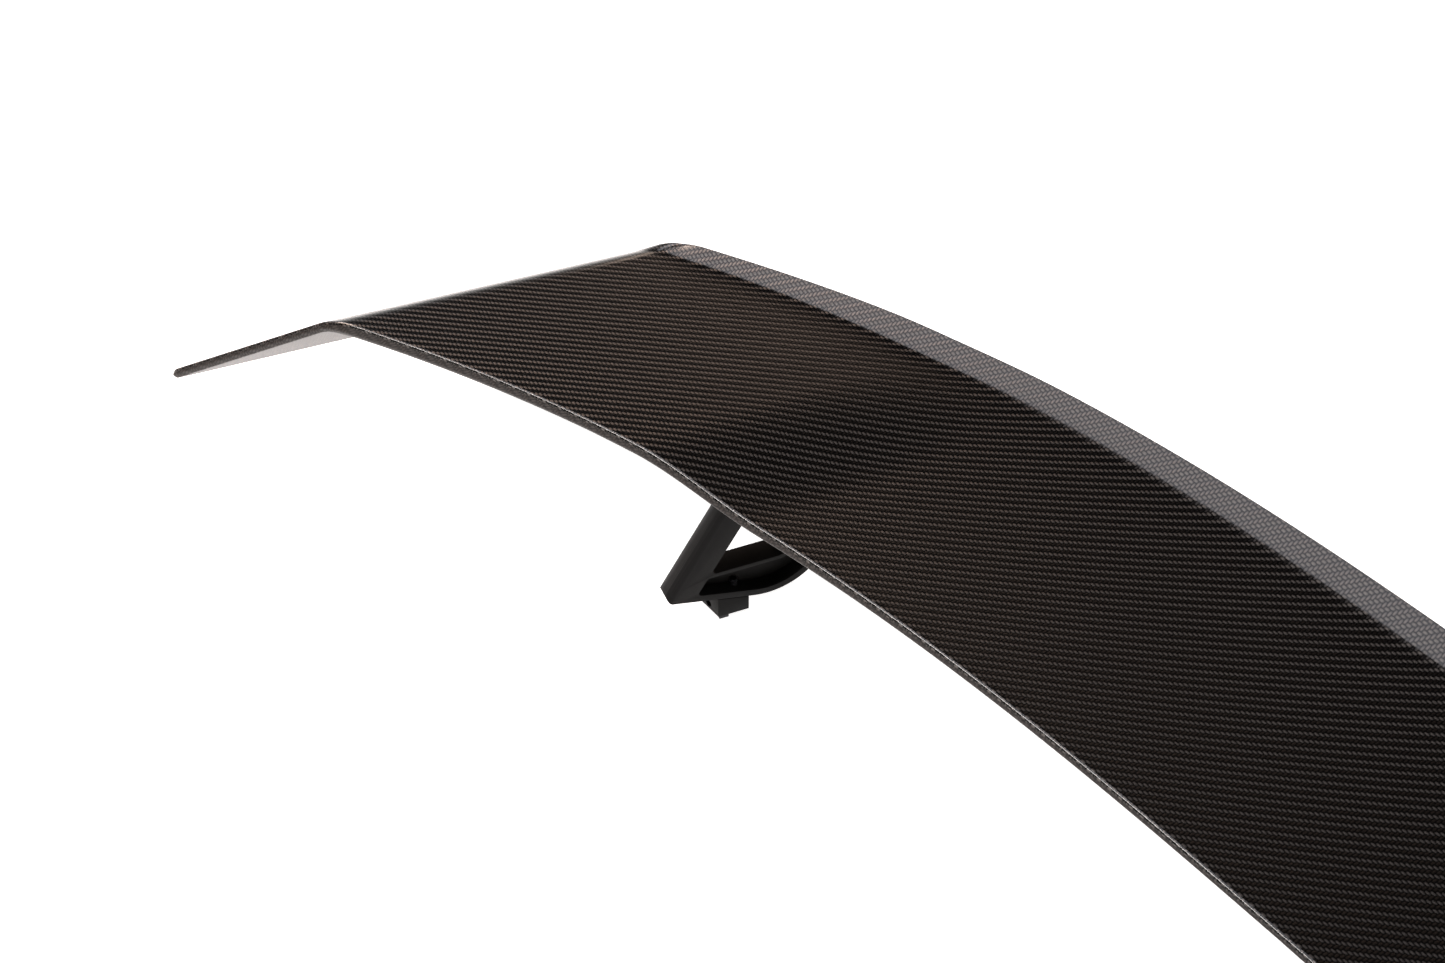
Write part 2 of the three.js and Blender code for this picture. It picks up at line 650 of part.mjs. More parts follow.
/** Adds a named part, kept as it is on the left or mirrored to the right. */
function addPart(name, solid, material, mirrored = false) {
  const placed = mirrored ? solid.mirror([1, 0, 0]) : solid;
  const mesh = new THREE.Mesh(geometryOf(placed), material);
  mesh.name = name;
  wing.add(mesh);
}

/** Adds a part on both sides of the wing. */
function addPair(name, solid, material) {
  addPart(`${name}_left`, solid, material);
  addPart(`${name}_right`, solid, material, true);
}

addPart('upper_skin', solidOf(bladePiece(wholeWing(), upperSkinOutline)), carbon);
const leftHoles = screwHoles();
const lowerSkin = solidOf(bladePiece(wholeWing(), lowerSkinOutline));
addPart('lower_skin', lowerSkin.subtract(leftHoles).subtract(leftHoles.mirror([1, 0, 0])), carbon);

const inner = CORE_JOINT - CORE_JOINT_GAP;
const centreSlices = [...shareSlices(0, inner, -1).slice(0, -1), ...shareSlices(0, inner, 1)];
addPart('core_centre', solidOf(bladePiece(centreSlices, coreOutline)), foam);

const outerCore = solidOf(bladePiece(shareSlices(CORE_JOINT + CORE_JOINT_GAP, 1, -1), coreOutline));
const pockets = wasm.Manifold.union(ENDS.map(end => hardpointRegion(end, GAP)));
addPair('core', outerCore.subtract(pockets), foam);
addPair('tip_core', solidOf(bladePiece(endSlices(-1), coreOutline)), foam);

const leftStrut = strut();
addPair('strut', leftStrut, satinBlack);
for (const end of ENDS) {
  const hardpoint = outerCore.intersect(hardpointRegion(end, 0)).subtract(leftHoles);
  addPair(`hardpoint_${end}`, hardpoint, bareAluminium);
  addPair(`gasket_${end}`, gasket(end), blackRubber);
  for (const [spread, side] of Object.entries(SPREADS)) {
    const screw = capScrew(SCREW_ENDS[end] - FLANGE_FLOORS[end] + GAP);
    const seated = screw.translate(FLANGE_RUNS[end], FLANGE_FLOORS[end] - GAP, side);
    addPair(`blade_screw_${end}_${spread}`, onLeft(seated), blackSteel);
  }
}

addPair('foot_block', onLeft(footBlock()), satinBlack);
const footScrewSeat = HEAD_HEIGHT + CLEARANCE;
const footScrew = capScrew(FOOT_SCREW_END - footScrewSeat).translate(FOOT_SCREW_RUN, footScrewSeat, 0);
addPair('foot_screw', onLeft(footScrew), blackSteel);
addPair('grub_screw', onLeft(grubScrew()), blackSteel);
addPair('locating_peg', onLeft(peg(0)), blackSteel);

// The origin is the middle of the footprint, at the lowest point.
const box = new THREE.Box3().setFromObject(wing);
const middle = box.getCenter(new THREE.Vector3());
wing.position.set(-middle.x, -middle.y, -box.min.z);

export default wing;
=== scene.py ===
"""A racing rear wing: a twill carbon blade with turned-down ends, bolted to two black cast V struts.

Sizes in the classes are millimetres and meshes are metres. The blade is drawn from its plan curves and its
section, the struts in their own toed-in planes, and everything is shifted into the frame's own place.
"""

import logging
import math
from dataclasses import dataclass, field
from enum import Enum
from typing import Callable, Iterable, Optional, Sequence, Union

import bmesh
import bpy
from mathutils import Matrix, Vector


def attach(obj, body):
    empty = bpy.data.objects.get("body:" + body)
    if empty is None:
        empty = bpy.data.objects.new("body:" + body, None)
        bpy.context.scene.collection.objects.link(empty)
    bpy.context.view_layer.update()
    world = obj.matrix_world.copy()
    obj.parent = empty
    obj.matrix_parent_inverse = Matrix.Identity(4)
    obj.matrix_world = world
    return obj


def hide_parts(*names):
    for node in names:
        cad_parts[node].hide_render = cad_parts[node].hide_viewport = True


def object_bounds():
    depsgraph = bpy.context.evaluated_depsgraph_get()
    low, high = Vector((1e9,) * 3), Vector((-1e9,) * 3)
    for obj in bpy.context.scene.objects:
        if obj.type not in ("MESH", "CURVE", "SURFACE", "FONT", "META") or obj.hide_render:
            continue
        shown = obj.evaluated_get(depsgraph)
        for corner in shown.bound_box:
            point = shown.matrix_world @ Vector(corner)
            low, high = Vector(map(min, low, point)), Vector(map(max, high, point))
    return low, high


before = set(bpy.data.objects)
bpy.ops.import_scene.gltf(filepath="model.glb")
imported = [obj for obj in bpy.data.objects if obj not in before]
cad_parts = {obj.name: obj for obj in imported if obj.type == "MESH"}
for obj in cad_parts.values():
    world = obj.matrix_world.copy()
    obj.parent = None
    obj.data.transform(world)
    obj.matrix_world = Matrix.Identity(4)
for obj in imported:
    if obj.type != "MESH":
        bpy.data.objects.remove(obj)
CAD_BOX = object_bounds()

LOG = logging.getLogger("rear_wing")
MM = 0.001
ROOT = "root"
# Threads in each direction before the pattern of a 2x2 twill repeats.
TWILL_REPEAT = 4.0
# Of those, the first two counts have the weft on top.
WEFT_UP_BELOW = 1.5
# Edges that turn by more than this many degrees are rounded.
ROUNDED_ABOVE = 30.0
# Points round a plain rod.
ROD_STEPS = 40

Pair = tuple[float, float]
Feed = Union[float, int, Sequence[float], bpy.types.Node, bpy.types.NodeSocket]


class Slot(Enum):
    """The record's material slots."""

    CARBON = "carbon_twill"
    FOAM = "foam_core"
    SATIN_BLACK = "satin_black"
    ALUMINIUM = "bare_aluminium"
    RUBBER = "black_rubber"
    BLACK_STEEL = "black_steel"


class Cut(Enum):
    """How one solid works on another."""

    JOIN = "UNION"
    REMOVE = "DIFFERENCE"
    KEEP_INSIDE = "INTERSECT"


class Side(Enum):
    """The two halves of the wing, as the sign of X."""

    LEFT = -1
    RIGHT = 1


# ---------------------------------------------------------------- numbers and colours


def lerp(low: float, high: float, share: float) -> float:
    """The value a share of the way from low to high."""
    return low + (high - low) * share


def smoothstep(value: float, low: float, high: float) -> float:
    """A smooth rise from 0 at low to 1 at high."""
    share = min(1.0, max(0.0, (value - low) / (high - low)))
    return share * share * (3 - 2 * share)


def spread(low: float, high: float, count: int) -> list[float]:
    """Evenly spaced values from low up to, but not including, high."""
    return [lerp(low, high, step / count) for step in range(count)]


def linear(hex_colour: str) -> tuple[float, float, float, float]:
    """Turns an sRGB hex colour into linear light.

    Args:
        hex_colour: six hexadecimal digits after a hash sign.

    Returns:
        Red, green, blue and an alpha of 1, in linear light.
    """
    channels = [int(hex_colour[i:i + 2], 16) / 255 for i in (1, 3, 5)]
    red, green, blue = [c / 12.92 if c <= 0.04045 else ((c + 0.055) / 1.055) ** 2.4 for c in channels]
    return red, green, blue, 1.0


# ---------------------------------------------------------------- nodes


def add_node(tree: bpy.types.NodeTree, kind: str, feeds: Optional[dict[Union[str, int], Feed]] = None,
             **settings: object) -> bpy.types.Node:
    """Adds a node with its settings and links.

    Args:
        tree: the node tree that it goes into.
        kind: the node's type name.
        feeds: what each input gets, by name or number: a value, a socket, or a node's first output.
        settings: properties of the node, by name.

    Returns:
        The new node.
    """
    node = tree.nodes.new(kind)
    for name, value in settings.items():
        setattr(node, name, value)
    for name, feed in (feeds or {}).items():
        if isinstance(feed, bpy.types.Node):
            tree.links.new(feed.outputs[0], node.inputs[name])
        elif isinstance(feed, bpy.types.NodeSocket):
            tree.links.new(feed, node.inputs[name])
        else:
            node.inputs[name].default_value = feed
    return node


def new_material(name: str) -> tuple[bpy.types.Material, bpy.types.NodeTree]:
    """Makes an empty node material.

    Args:
        name: the finish's name.

    Returns:
        The material and its node tree.
    """
    material = bpy.data.materials.new(name)
    material.use_nodes = True
    material.node_tree.nodes.clear()
    return material, material.node_tree


def finish_with(tree: bpy.types.NodeTree, shader: bpy.types.Node) -> None:
    """Sends a shader to the material's surface."""
    add_node(tree, "ShaderNodeOutputMaterial", {"Surface": shader})


# ---------------------------------------------------------------- finishes


@dataclass(frozen=True)
class TwillCarbon:
    """Carbon fibre laminate, 3K 2x2 twill, vacuum-bagged, under a satin clear coat.

    A tow is a bundle of shiny cylinders, so it mirrors a whole fan of directions across its run. Tows that
    run across the light glow grey-brown while the others stay nearly black, which draws the diagonal rows.
    """

    name: str
    fibre: str
    resin: str
    metallic: float
    specular: float
    coat: float
    # A 3K tow in a 200 g cloth has 12.5 threads to the inch.
    tow_mm: float = 2.03
    # Filaments are 7 micrometres thick, so they are drawn as bundles of about 0.15 mm.
    filament_mm: float = 0.15

    def make(self) -> bpy.types.Material:
        """Builds the woven, clear-coated material.

        Returns:
            The material.
        """
        material, tree = new_material(self.name)
        cloth = add_node(tree, "ShaderNodeAttribute", attribute_name="cloth").outputs["Vector"]
        threads = add_node(tree, "ShaderNodeVectorMath", {0: cloth, "Scale": 1 / self.tow_mm},
                           operation="SCALE")
        axes = add_node(tree, "ShaderNodeSeparateXYZ", {0: threads})
        across, along = axes.outputs["X"], axes.outputs["Y"]
        across_count = add_node(tree, "ShaderNodeMath", {0: across}, operation="FLOOR")
        along_count = add_node(tree, "ShaderNodeMath", {0: along}, operation="FLOOR")
        step = add_node(tree, "ShaderNodeMath", {0: across_count, 1: along_count}, operation="SUBTRACT")
        phase = add_node(tree, "ShaderNodeMath", {0: step, 1: TWILL_REPEAT}, operation="FLOORED_MODULO")
        weft_up = add_node(tree, "ShaderNodeMath", {0: phase, 1: WEFT_UP_BELOW}, operation="LESS_THAN")

        relief = self.relief(tree, across, along, across_count, along_count, weft_up)
        streaks = self.filaments(tree, cloth, weft_up)
        streaked = add_node(tree, "ShaderNodeMix", {0: 1.0, 6: linear(self.fibre), 7: streaks},
                            data_type="RGBA", blend_type="MULTIPLY").outputs[2]
        depth = add_node(tree, "ShaderNodeMapRange", {0: relief, 1: 0.05, 2: 0.8})
        colour = add_node(tree, "ShaderNodeMix", {0: depth, 6: linear(self.resin), 7: streaked},
                          data_type="RGBA").outputs[2]

        bump = add_node(tree, "ShaderNodeBump", {"Height": relief, "Strength": 0.7, "Distance": 0.00016})
        weft_run = add_node(tree, "ShaderNodeAttribute", attribute_name="weft_run").outputs["Vector"]
        normal = add_node(tree, "ShaderNodeNewGeometry").outputs["Normal"]
        warp_run = add_node(tree, "ShaderNodeVectorMath", {0: normal, 1: weft_run}, operation="CROSS_PRODUCT")
        # The gloss is drawn out across the filaments, so the tangent is the run of the other tows.
        spread_run = add_node(tree, "ShaderNodeMix", {0: weft_up, 4: weft_run, 5: warp_run},
                              data_type="VECTOR")
        shader = add_node(tree, "ShaderNodeBsdfPrincipled", {
            "Base Color": colour,
            "Metallic": self.metallic,
            "Roughness": 0.42,
            "Specular IOR Level": self.specular,
            "Anisotropic": 0.9,
            "Tangent": spread_run.outputs[1],
            "Normal": bump,
            "Coat Weight": self.coat,
            "Coat Roughness": 0.14,
            "Coat IOR": 1.5,
        })
        finish_with(tree, shader)
        return material

    def relief(self, tree: bpy.types.NodeTree, across: Feed, along: Feed, across_count: Feed,
               along_count: Feed, weft_up: Feed) -> bpy.types.Node:
        """The height of the uppermost tow, from 0 where it dives under to 1 on its crown.

        Args:
            tree: the node tree.
            across: position along the weft, in threads.
            along: position along the warp, in threads.
            across_count: whole threads in across.
            along_count: whole threads in along.
            weft_up: 1 where the weft is on top.

        Returns:
            The node that gives the height.
        """
        weft_float = add_node(tree, "ShaderNodeMath", {0: across, 1: along_count}, operation="SUBTRACT")
        weft_phase = add_node(tree, "ShaderNodeMath", {0: weft_float, 1: TWILL_REPEAT},
                              operation="FLOORED_MODULO")
        warp_float = add_node(tree, "ShaderNodeMath", {0: along, 1: across_count}, operation="SUBTRACT")
        warp_shift = add_node(tree, "ShaderNodeMath", {0: warp_float, 1: 1.0}, operation="SUBTRACT")
        warp_phase = add_node(tree, "ShaderNodeMath", {0: warp_shift, 1: TWILL_REPEAT},
                              operation="FLOORED_MODULO")
        travel = add_node(tree, "ShaderNodeMix", {0: weft_up, 2: warp_phase, 3: weft_phase},
                          data_type="FLOAT")
        arch = add_node(tree, "ShaderNodeMath", {0: travel, 1: math.pi / 2}, operation="MULTIPLY")
        arch_rise = add_node(tree, "ShaderNodeMath", {0: arch}, operation="SINE")
        width = add_node(tree, "ShaderNodeMix", {0: weft_up, 2: across, 3: along}, data_type="FLOAT")
        width_part = add_node(tree, "ShaderNodeMath", {0: width}, operation="FRACT")
        crown = add_node(tree, "ShaderNodeMath", {0: width_part, 1: math.pi}, operation="MULTIPLY")
        crown_rise = add_node(tree, "ShaderNodeMath", {0: crown}, operation="SINE")
        return add_node(tree, "ShaderNodeMath", {0: arch_rise, 1: crown_rise}, operation="MULTIPLY",
                        use_clamp=True)

    def filaments(self, tree: bpy.types.NodeTree, cloth: Feed, weft_up: Feed) -> bpy.types.Node:
        """Fine light and dark streaks that run along each tow.

        Args:
            tree: the node tree.
            cloth: the place on the flat cloth, in millimetres.
            weft_up: 1 where the weft is on top.

        Returns:
            The node that gives the streaks as a brightness.
        """
        fine = 1 / self.filament_mm
        coarse = 0.12
        stretch = add_node(tree, "ShaderNodeMix",
                           {0: weft_up, 4: (fine, coarse, 1.0), 5: (coarse, fine, 1.0)},
                           data_type="VECTOR").outputs[1]
        drawn = add_node(tree, "ShaderNodeVectorMath", {0: cloth, 1: stretch}, operation="MULTIPLY")
        noise = add_node(tree, "ShaderNodeTexNoise", {"Vector": drawn, "Scale": 1.0, "Detail": 2.0})
        return add_node(tree, "ShaderNodeMapRange",
                        {0: noise.outputs["Fac"], 1: 0.25, 2: 0.75, 3: 0.78, 4: 1.15})


@dataclass(frozen=True)
class PowderCoat:
    """Cast aluminium under fine satin black powder coat.

    The powder melts into shallow dimples, which break a highlight into a soft grey bloom.
    """

    name: str = "aluminium_satin_black_powder_coat"
    colour: str = "#100f0f"
    worn: str = "#1b1a19"
    # Orange peel of fine powder has a wavelength of about 0.8 mm.
    peel_mm: float = 0.8
    # Handling leaves the gloss uneven in patches about 18 mm across.
    patches_per_metre: float = 55.0

    def make(self) -> bpy.types.Material:
        """Builds the powder-coated material.

        Returns:
            The material.
        """
        material, tree = new_material(self.name)
        place = add_node(tree, "ShaderNodeTexCoord").outputs["Object"]
        peel = add_node(tree, "ShaderNodeTexNoise",
                        {"Vector": place, "Scale": 1 / (self.peel_mm * MM), "Detail": 2.0})
        cloud = add_node(tree, "ShaderNodeTexNoise",
                         {"Vector": place, "Scale": self.patches_per_metre, "Detail": 3.0})
        edge = add_node(tree, "ShaderNodeNewGeometry").outputs["Pointiness"]
        rubbed = add_node(tree, "ShaderNodeMapRange", {0: edge, 1: 0.52, 2: 0.6, 4: 0.55})
        colour = add_node(tree, "ShaderNodeMix", {0: rubbed, 6: linear(self.colour), 7: linear(self.worn)},
                          data_type="RGBA").outputs[2]
        rough = add_node(tree, "ShaderNodeMapRange",
                         {0: cloud.outputs["Fac"], 1: 0.3, 2: 0.7, 3: 0.42, 4: 0.52})
        bump = add_node(tree, "ShaderNodeBump",
                        {"Height": peel.outputs["Fac"], "Strength": 0.25, "Distance": 0.00008})
        shader = add_node(tree, "ShaderNodeBsdfPrincipled", {
            "Base Color": colour,
            "Roughness": rough,
            "Specular IOR Level": 0.08,
            "Normal": bump,
        })
        finish_with(tree, shader)
        return material


@dataclass(frozen=True)
class StructuralFoam:
    """Closed-cell structural foam, cut to shape: a dry cream face with tiny open cells."""

    name: str = "structural_foam_cut"
    skin: str = "#dccfa8"
    cell: str = "#b9a877"
    # Cells are about 0.4 mm across.
    cell_mm: float = 0.4

    def make(self) -> bpy.types.Material:
        """Builds the cut-foam material.

        Returns:
            The material.
        """
        material, tree = new_material(self.name)
        place = add_node(tree, "ShaderNodeTexCoord").outputs["Object"]
        cells = add_node(tree, "ShaderNodeTexVoronoi", {"Vector": place, "Scale": 1 / (self.cell_mm * MM)})
        colour = add_node(tree, "ShaderNodeMix", {0: cells.outputs["Distance"], 6: linear(self.cell),
                                                  7: linear(self.skin)}, data_type="RGBA").outputs[2]
        bump = add_node(tree, "ShaderNodeBump", {"Height": cells.outputs["Distance"], "Distance": 0.0001})
        shader = add_node(tree, "ShaderNodeBsdfPrincipled", {
            "Base Color": colour,
            "Roughness": 0.85,
            "Normal": bump,
        })
        finish_with(tree, shader)
        return material


@dataclass(frozen=True)
class TurnedMetal:
    """A bare or plated metal with the fine marks of its making, which draw the highlight into a streak."""

    name: str
    light: str
    dark: str
    metallic: float
    roughness: float
    # Tool marks a quarter of a millimetre apart.
    mark_mm: float = 0.25
    # The colour is mottled in spots about 4 mm across.
    spots_per_metre: float = 260.0

    def make(self) -> bpy.types.Material:
        """Builds the metal.

        Returns:
            The material.
        """
        material, tree = new_material(self.name)
        place = add_node(tree, "ShaderNodeTexCoord").outputs["Object"]
        drawn = add_node(tree, "ShaderNodeVectorMath", {0: place, 1: (0.05, 0.05, 1.0)}, operation="MULTIPLY")
        marks = add_node(tree, "ShaderNodeTexNoise",
                         {"Vector": drawn, "Scale": 1 / (self.mark_mm * MM), "Detail": 3.0})
        cloud = add_node(tree, "ShaderNodeTexNoise",
                         {"Vector": place, "Scale": self.spots_per_metre, "Detail": 4.0})
        colour = add_node(tree, "ShaderNodeMix", {0: cloud.outputs["Fac"], 6: linear(self.dark),
                                                  7: linear(self.light)}, data_type="RGBA").outputs[2]
        rough = add_node(tree, "ShaderNodeMapRange", {0: marks.outputs["Fac"], 1: 0.3, 2: 0.7,
                                                      3: self.roughness - 0.07, 4: self.roughness + 0.07})
        bump = add_node(tree, "ShaderNodeBump",
                        {"Height": marks.outputs["Fac"], "Strength": 0.3, "Distance": 0.00003})
        shader = add_node(tree, "ShaderNodeBsdfPrincipled", {
            "Base Color": colour,
            "Metallic": self.metallic,
            "Roughness": rough,
            "Normal": bump,
        })
        finish_with(tree, shader)
        return material


@dataclass(frozen=True)
class MouldedRubber:
    """Moulded EPDM rubber: matt charcoal with a faint bloom and the grain of its mould."""

    name: str = "epdm_rubber_moulded"
    colour: str = "#191919"
    bloom: str = "#2b2b2b"
    # The mould is blasted with a grit of about a third of a millimetre.
    grain_mm: float = 0.35

    def make(self) -> bpy.types.Material:
        """Builds the rubber.

        Returns:
            The material.
        """
        material, tree = new_material(self.name)
        place = add_node(tree, "ShaderNodeTexCoord").outputs["Object"]
        grain = add_node(tree, "ShaderNodeTexNoise",
                         {"Vector": place, "Scale": 1 / (self.grain_mm * MM), "Detail": 4.0})
        colour = add_node(tree, "ShaderNodeMix", {0: grain.outputs["Fac"], 6: linear(self.colour),
                                                  7: linear(self.bloom)}, data_type="RGBA").outputs[2]
        bump = add_node(tree, "ShaderNodeBump",
                        {"Height": grain.outputs["Fac"], "Strength": 0.4, "Distance": 0.00008})
        shader = add_node(tree, "ShaderNodeBsdfPrincipled", {
            "Base Color": colour,
            "Roughness": 0.8,
            "Normal": bump,
        })
        finish_with(tree, shader)
        return material


@dataclass(frozen=True)
class StudioFloor:
    """A light table of opal acrylic, lit evenly from beneath, which takes the shadows away."""

    name: str = "opal_acrylic_backlit"
    colour: str = "#f4f3f2"
    glow: float = 1.08

    def make(self) -> bpy.types.Material:
        """Builds the lit acrylic.

        Returns:
            The material.
        """
        material, tree = new_material(self.name)
        shader = add_node(tree, "ShaderNodeBsdfPrincipled", {
            "Base Color": linear(self.colour),
            "Roughness": 0.9,
            "Specular IOR Level": 0.1,
            "Emission Color": linear(self.colour),
            "Emission Strength": self.glow,
        })
        finish_with(tree, shader)
        return material


class Finishes:
    """Every finish of the wing, each made once."""

    def __init__(self) -> None:
        """Makes the materials and keeps them by slot.

        The lower skin takes a darker, duller copy of the carbon, which is painted shade for the underside and
        the nose band, so its rows are hardly seen.
        """
        # Painted shade: a darker, duller copy of the carbon for the underside and the nose band.
        self.shaded_carbon: bpy.types.Material = TwillCarbon(
            "carbon_twill_painted_shade", "#3a3431", "#1c1917", metallic=0.0, specular=0.2, coat=0.15).make()
        self.by_slot: dict[Slot, bpy.types.Material] = {
            Slot.CARBON: TwillCarbon(
                "carbon_twill_clear_coated", "#544f4c", "#0a0909",
                metallic=1.0, specular=0.5, coat=1.0).make(),
            Slot.SATIN_BLACK: PowderCoat().make(),
            Slot.FOAM: StructuralFoam().make(),
            Slot.ALUMINIUM: TurnedMetal("aluminium_milled", "#c3c6ca", "#a9adb2", 1.0, 0.38).make(),
            Slot.BLACK_STEEL: TurnedMetal("steel_black_oxide", "#3a3a3c", "#242426", 0.9, 0.45).make(),
            Slot.RUBBER: MouldedRubber().make(),
        }

    def of(self, slot: Slot) -> bpy.types.Material:
        """The material of a slot."""
        return self.by_slot[slot]


# ---------------------------------------------------------------- meshes


def new_object(name: str, mesh: bpy.types.Mesh) -> bpy.types.Object:
    """Puts a mesh into the scene as an object.

    Args:
        name: the object's name.
        mesh: its mesh.

    Returns:
        The new object.
    """
    piece = bpy.data.objects.new(name, mesh)
    bpy.context.scene.collection.objects.link(piece)
    return piece


def mesh_of(name: str, points: Sequence[Vector], faces: Sequence[Sequence[int]]) -> bpy.types.Mesh:
    """Makes a closed mesh with its faces pointing out.

    Args:
        name: the mesh's name.
        points: corners in millimetres.
        faces: corner numbers of each face.

    Returns:
        The mesh, in metres.
    """
    mesh = bpy.data.meshes.new(name)
    mesh.from_pydata([point * MM for point in points], [], faces)
    work = bmesh.new()
    work.from_mesh(mesh)
    bmesh.ops.recalc_face_normals(work, faces=work.faces)
    work.to_mesh(mesh)
    work.free()
    return mesh


def loft(name: str, rings: Sequence[Sequence[Vector]]) -> bpy.types.Mesh:
    """A closed body through equal rings of points, with flat ends.

    Args:
        name: the mesh's name.
        rings: rings with equally many points, in millimetres.

    Returns:
        The mesh, in metres.
    """
    count = len(rings[0])
    faces = [
        (ring * count + i, ring * count + (i + 1) % count,
         (ring + 1) * count + (i + 1) % count, (ring + 1) * count + i)
        for ring in range(len(rings) - 1)
        for i in range(count)
    ]
    last = (len(rings) - 1) * count
    caps = [tuple(range(count)), tuple(range(last, last + count))]
    return mesh_of(name, [point for ring in rings for point in ring], faces + caps)


def prism(name: str, outline: Sequence[Pair], low: float, high: float,
          place: Callable[..., Vector]) -> bpy.types.Object:
    """An outline made solid between two distances.

    Args:
        name: the object's name.
        outline: the corners, as pairs.
        low: where it starts.
        high: where it ends.
        place: gives the point for a pair's two numbers and a distance.

    Returns:
        The solid.
    """
    rings = [[place(a, b, reach) for a, b in outline] for reach in (low, high)]
    return new_object(name, loft(name, rings))


def lathe(name: str, profile: Sequence[Pair], steps: int,
          knurl: Callable[[float, int], float]) -> bpy.types.Object:
    """A turned solid about the upright axis.

    Args:
        name: the object's name.
        profile: radius and height of each point, from the bottom's middle to the top's middle.
        steps: points round the axis.
        knurl: gives the radius to use for a radius and a step's number.

    Returns:
        The solid.
    """
    turn = math.tau / steps
    points = [Vector((0, 0, profile[0][1]))]
    for radius, height in profile[1:-1]:
        for step in range(steps):
            drawn = knurl(radius, step)
            points.append(Vector((drawn * math.cos(turn * step), drawn * math.sin(turn * step), height)))
    points.append(Vector((0, 0, profile[-1][1])))
    rows = len(profile) - 2
    faces: list[tuple[int, ...]] = []
    for step in range(steps):
        on = (step + 1) % steps
        faces.append((0, 1 + on, 1 + step))
        faces.append((len(points) - 1, 1 + (rows - 1) * steps + step, 1 + (rows - 1) * steps + on))
        for row in range(rows - 1):
            base = 1 + row * steps
            faces.append((base + step, base + on, base + steps + on, base + steps + step))
    return new_object(name, mesh_of(name, points, faces))


def rod(radius: float, low: float, high: float) -> bpy.types.Object:
    """A plain upright rod, used as a cutter."""
    return lathe("rod", [(0, low), (radius, low), (radius, high), (0, high)], ROD_STEPS, lambda r, _: r)


def hexagon_key(radius: float, low: float, high: float) -> bpy.types.Object:
    """An upright six-sided bar about the axis, which cuts a screw's socket.

    Args:
        radius: from the axis to a corner.
        low: where it starts.
        high: where it ends.

    Returns:
        The bar.
    """
    turns = [math.radians(60 * i) for i in range(6)]
    outline = [(radius * math.cos(turn), radius * math.sin(turn)) for turn in turns]
    return prism("hexagon_key", outline, low, high, lambda a, b, height: Vector((a, b, height)))


def shade(mesh: bpy.types.Mesh, sharp: float) -> None:
    """Shades a mesh smooth, apart from edges that turn by more than an angle in degrees."""
    mesh.shade_smooth()
    mesh.set_sharp_from_angle(angle=math.radians(sharp))


def bake_modifiers(piece: bpy.types.Object) -> None:
    """Applies an object's modifiers to its mesh.

    Args:
        piece: the object, which is left without modifiers.
    """
    shape = bpy.data.meshes.new_from_object(piece.evaluated_get(bpy.context.evaluated_depsgraph_get()))
    old = piece.data
    piece.modifiers.clear()
    piece.data = shape
    bpy.data.meshes.remove(old)


def combine(piece: bpy.types.Object, tools: Iterable[bpy.types.Object], how: Cut) -> bpy.types.Object:
    """Works one solid with others, which are used up.

    Args:
        piece: the solid that is changed.
        tools: the solids that change it.
        how: joins, removes or keeps what is inside.

    Returns:
        The changed solid.
    """
    for tool in tools:
        worker = piece.modifiers.new("combine", "BOOLEAN")
        worker.operation = how.value
        worker.solver = "EXACT"
        worker.object = tool
        bake_modifiers(piece)
        bpy.data.meshes.remove(tool.data)
    return piece


def soften(piece: bpy.types.Object, width: float, segments: int) -> bpy.types.Object:
    """Rounds the sharp edges of a solid and shades it smooth.

    Args:
        piece: the solid.
        width: how far the rounding reaches from each edge.
        segments: how many faces it takes.

    Returns:
        The same solid.
    """
    bevel = piece.modifiers.new("soften", "BEVEL")
    bevel.limit_method = "ANGLE"
    bevel.angle_limit = math.radians(ROUNDED_ABOVE)
    bevel.width = width * MM
    bevel.segments = segments
    bevel.use_clamp_overlap = True
    bake_modifiers(piece)
    shade(piece.data, 35)
    return piece


def rounded(corners: Sequence[tuple[Vector, float]], closed: bool,
            steps: Optional[int] = None) -> list[Vector]:
    """An outline through corners, each rounded by its own radius.

    Args:
        corners: flat points with their radii.
        closed: whether the last corner joins the first.
        steps: parts in each arc; without it they are about four degrees each.

    Returns:
        The outline's points.
    """
    points: list[Vector] = []
    for i, (corner, radius) in enumerate(corners):
        if not radius or (not closed and i in (0, len(corners) - 1)):
            points.append(corner.copy())
            continue
        back = (corners[i - 1][0] - corner).normalized()
        on = (corners[(i + 1) % len(corners)][0] - corner).normalized()
        half = math.acos(max(-1.0, min(1.0, back.dot(on)))) / 2
        centre = corner + (back + on).normalized() * (radius / math.sin(half))
        start = corner + back * (radius / math.tan(half)) - centre
        turn = (math.pi - 2 * half) * (-1 if back.cross(on) > 0 else 1)
        parts = steps or max(2, math.ceil(abs(turn) / math.radians(4)))
        for part in range(parts + 1):
            points.append(centre + Matrix.Rotation(turn * part / parts, 2) @ start)
    return points


# ---------------------------------------------------------------- blade


@dataclass(frozen=True)
class EdgeCurve:
    """One edge of the blade in plan: it falls forward from its centre by a power of the distance."""

    centre: float
    sweep: float
    power: float
    reach: float = 600.0

    def y(self, x: float) -> float:
        """How far back the edge is, this far from the centre plane."""
        return self.centre - self.sweep * (x / self.reach) ** self.power

    def direction(self, x: float) -> Vector:
        """The edge's direction outward."""
        return Vector((1.0, self.y(x + 0.5) - self.y(x - 0.5)))


@dataclass(frozen=True)
class Slice:
    """One chordwise slice of the right half.

    share is 0 on the centre plane and 1 at the fold, and out is the distance past the fold.
    """

    share: float
    out: float
    lead: Vector
    chord: float
    aft: Vector


@dataclass(frozen=True)
class Spot:
    """A point of a slice's outline: behind the nose, height, and the same place on the flat cloth."""

    back: float
    height: float
    cloth: float


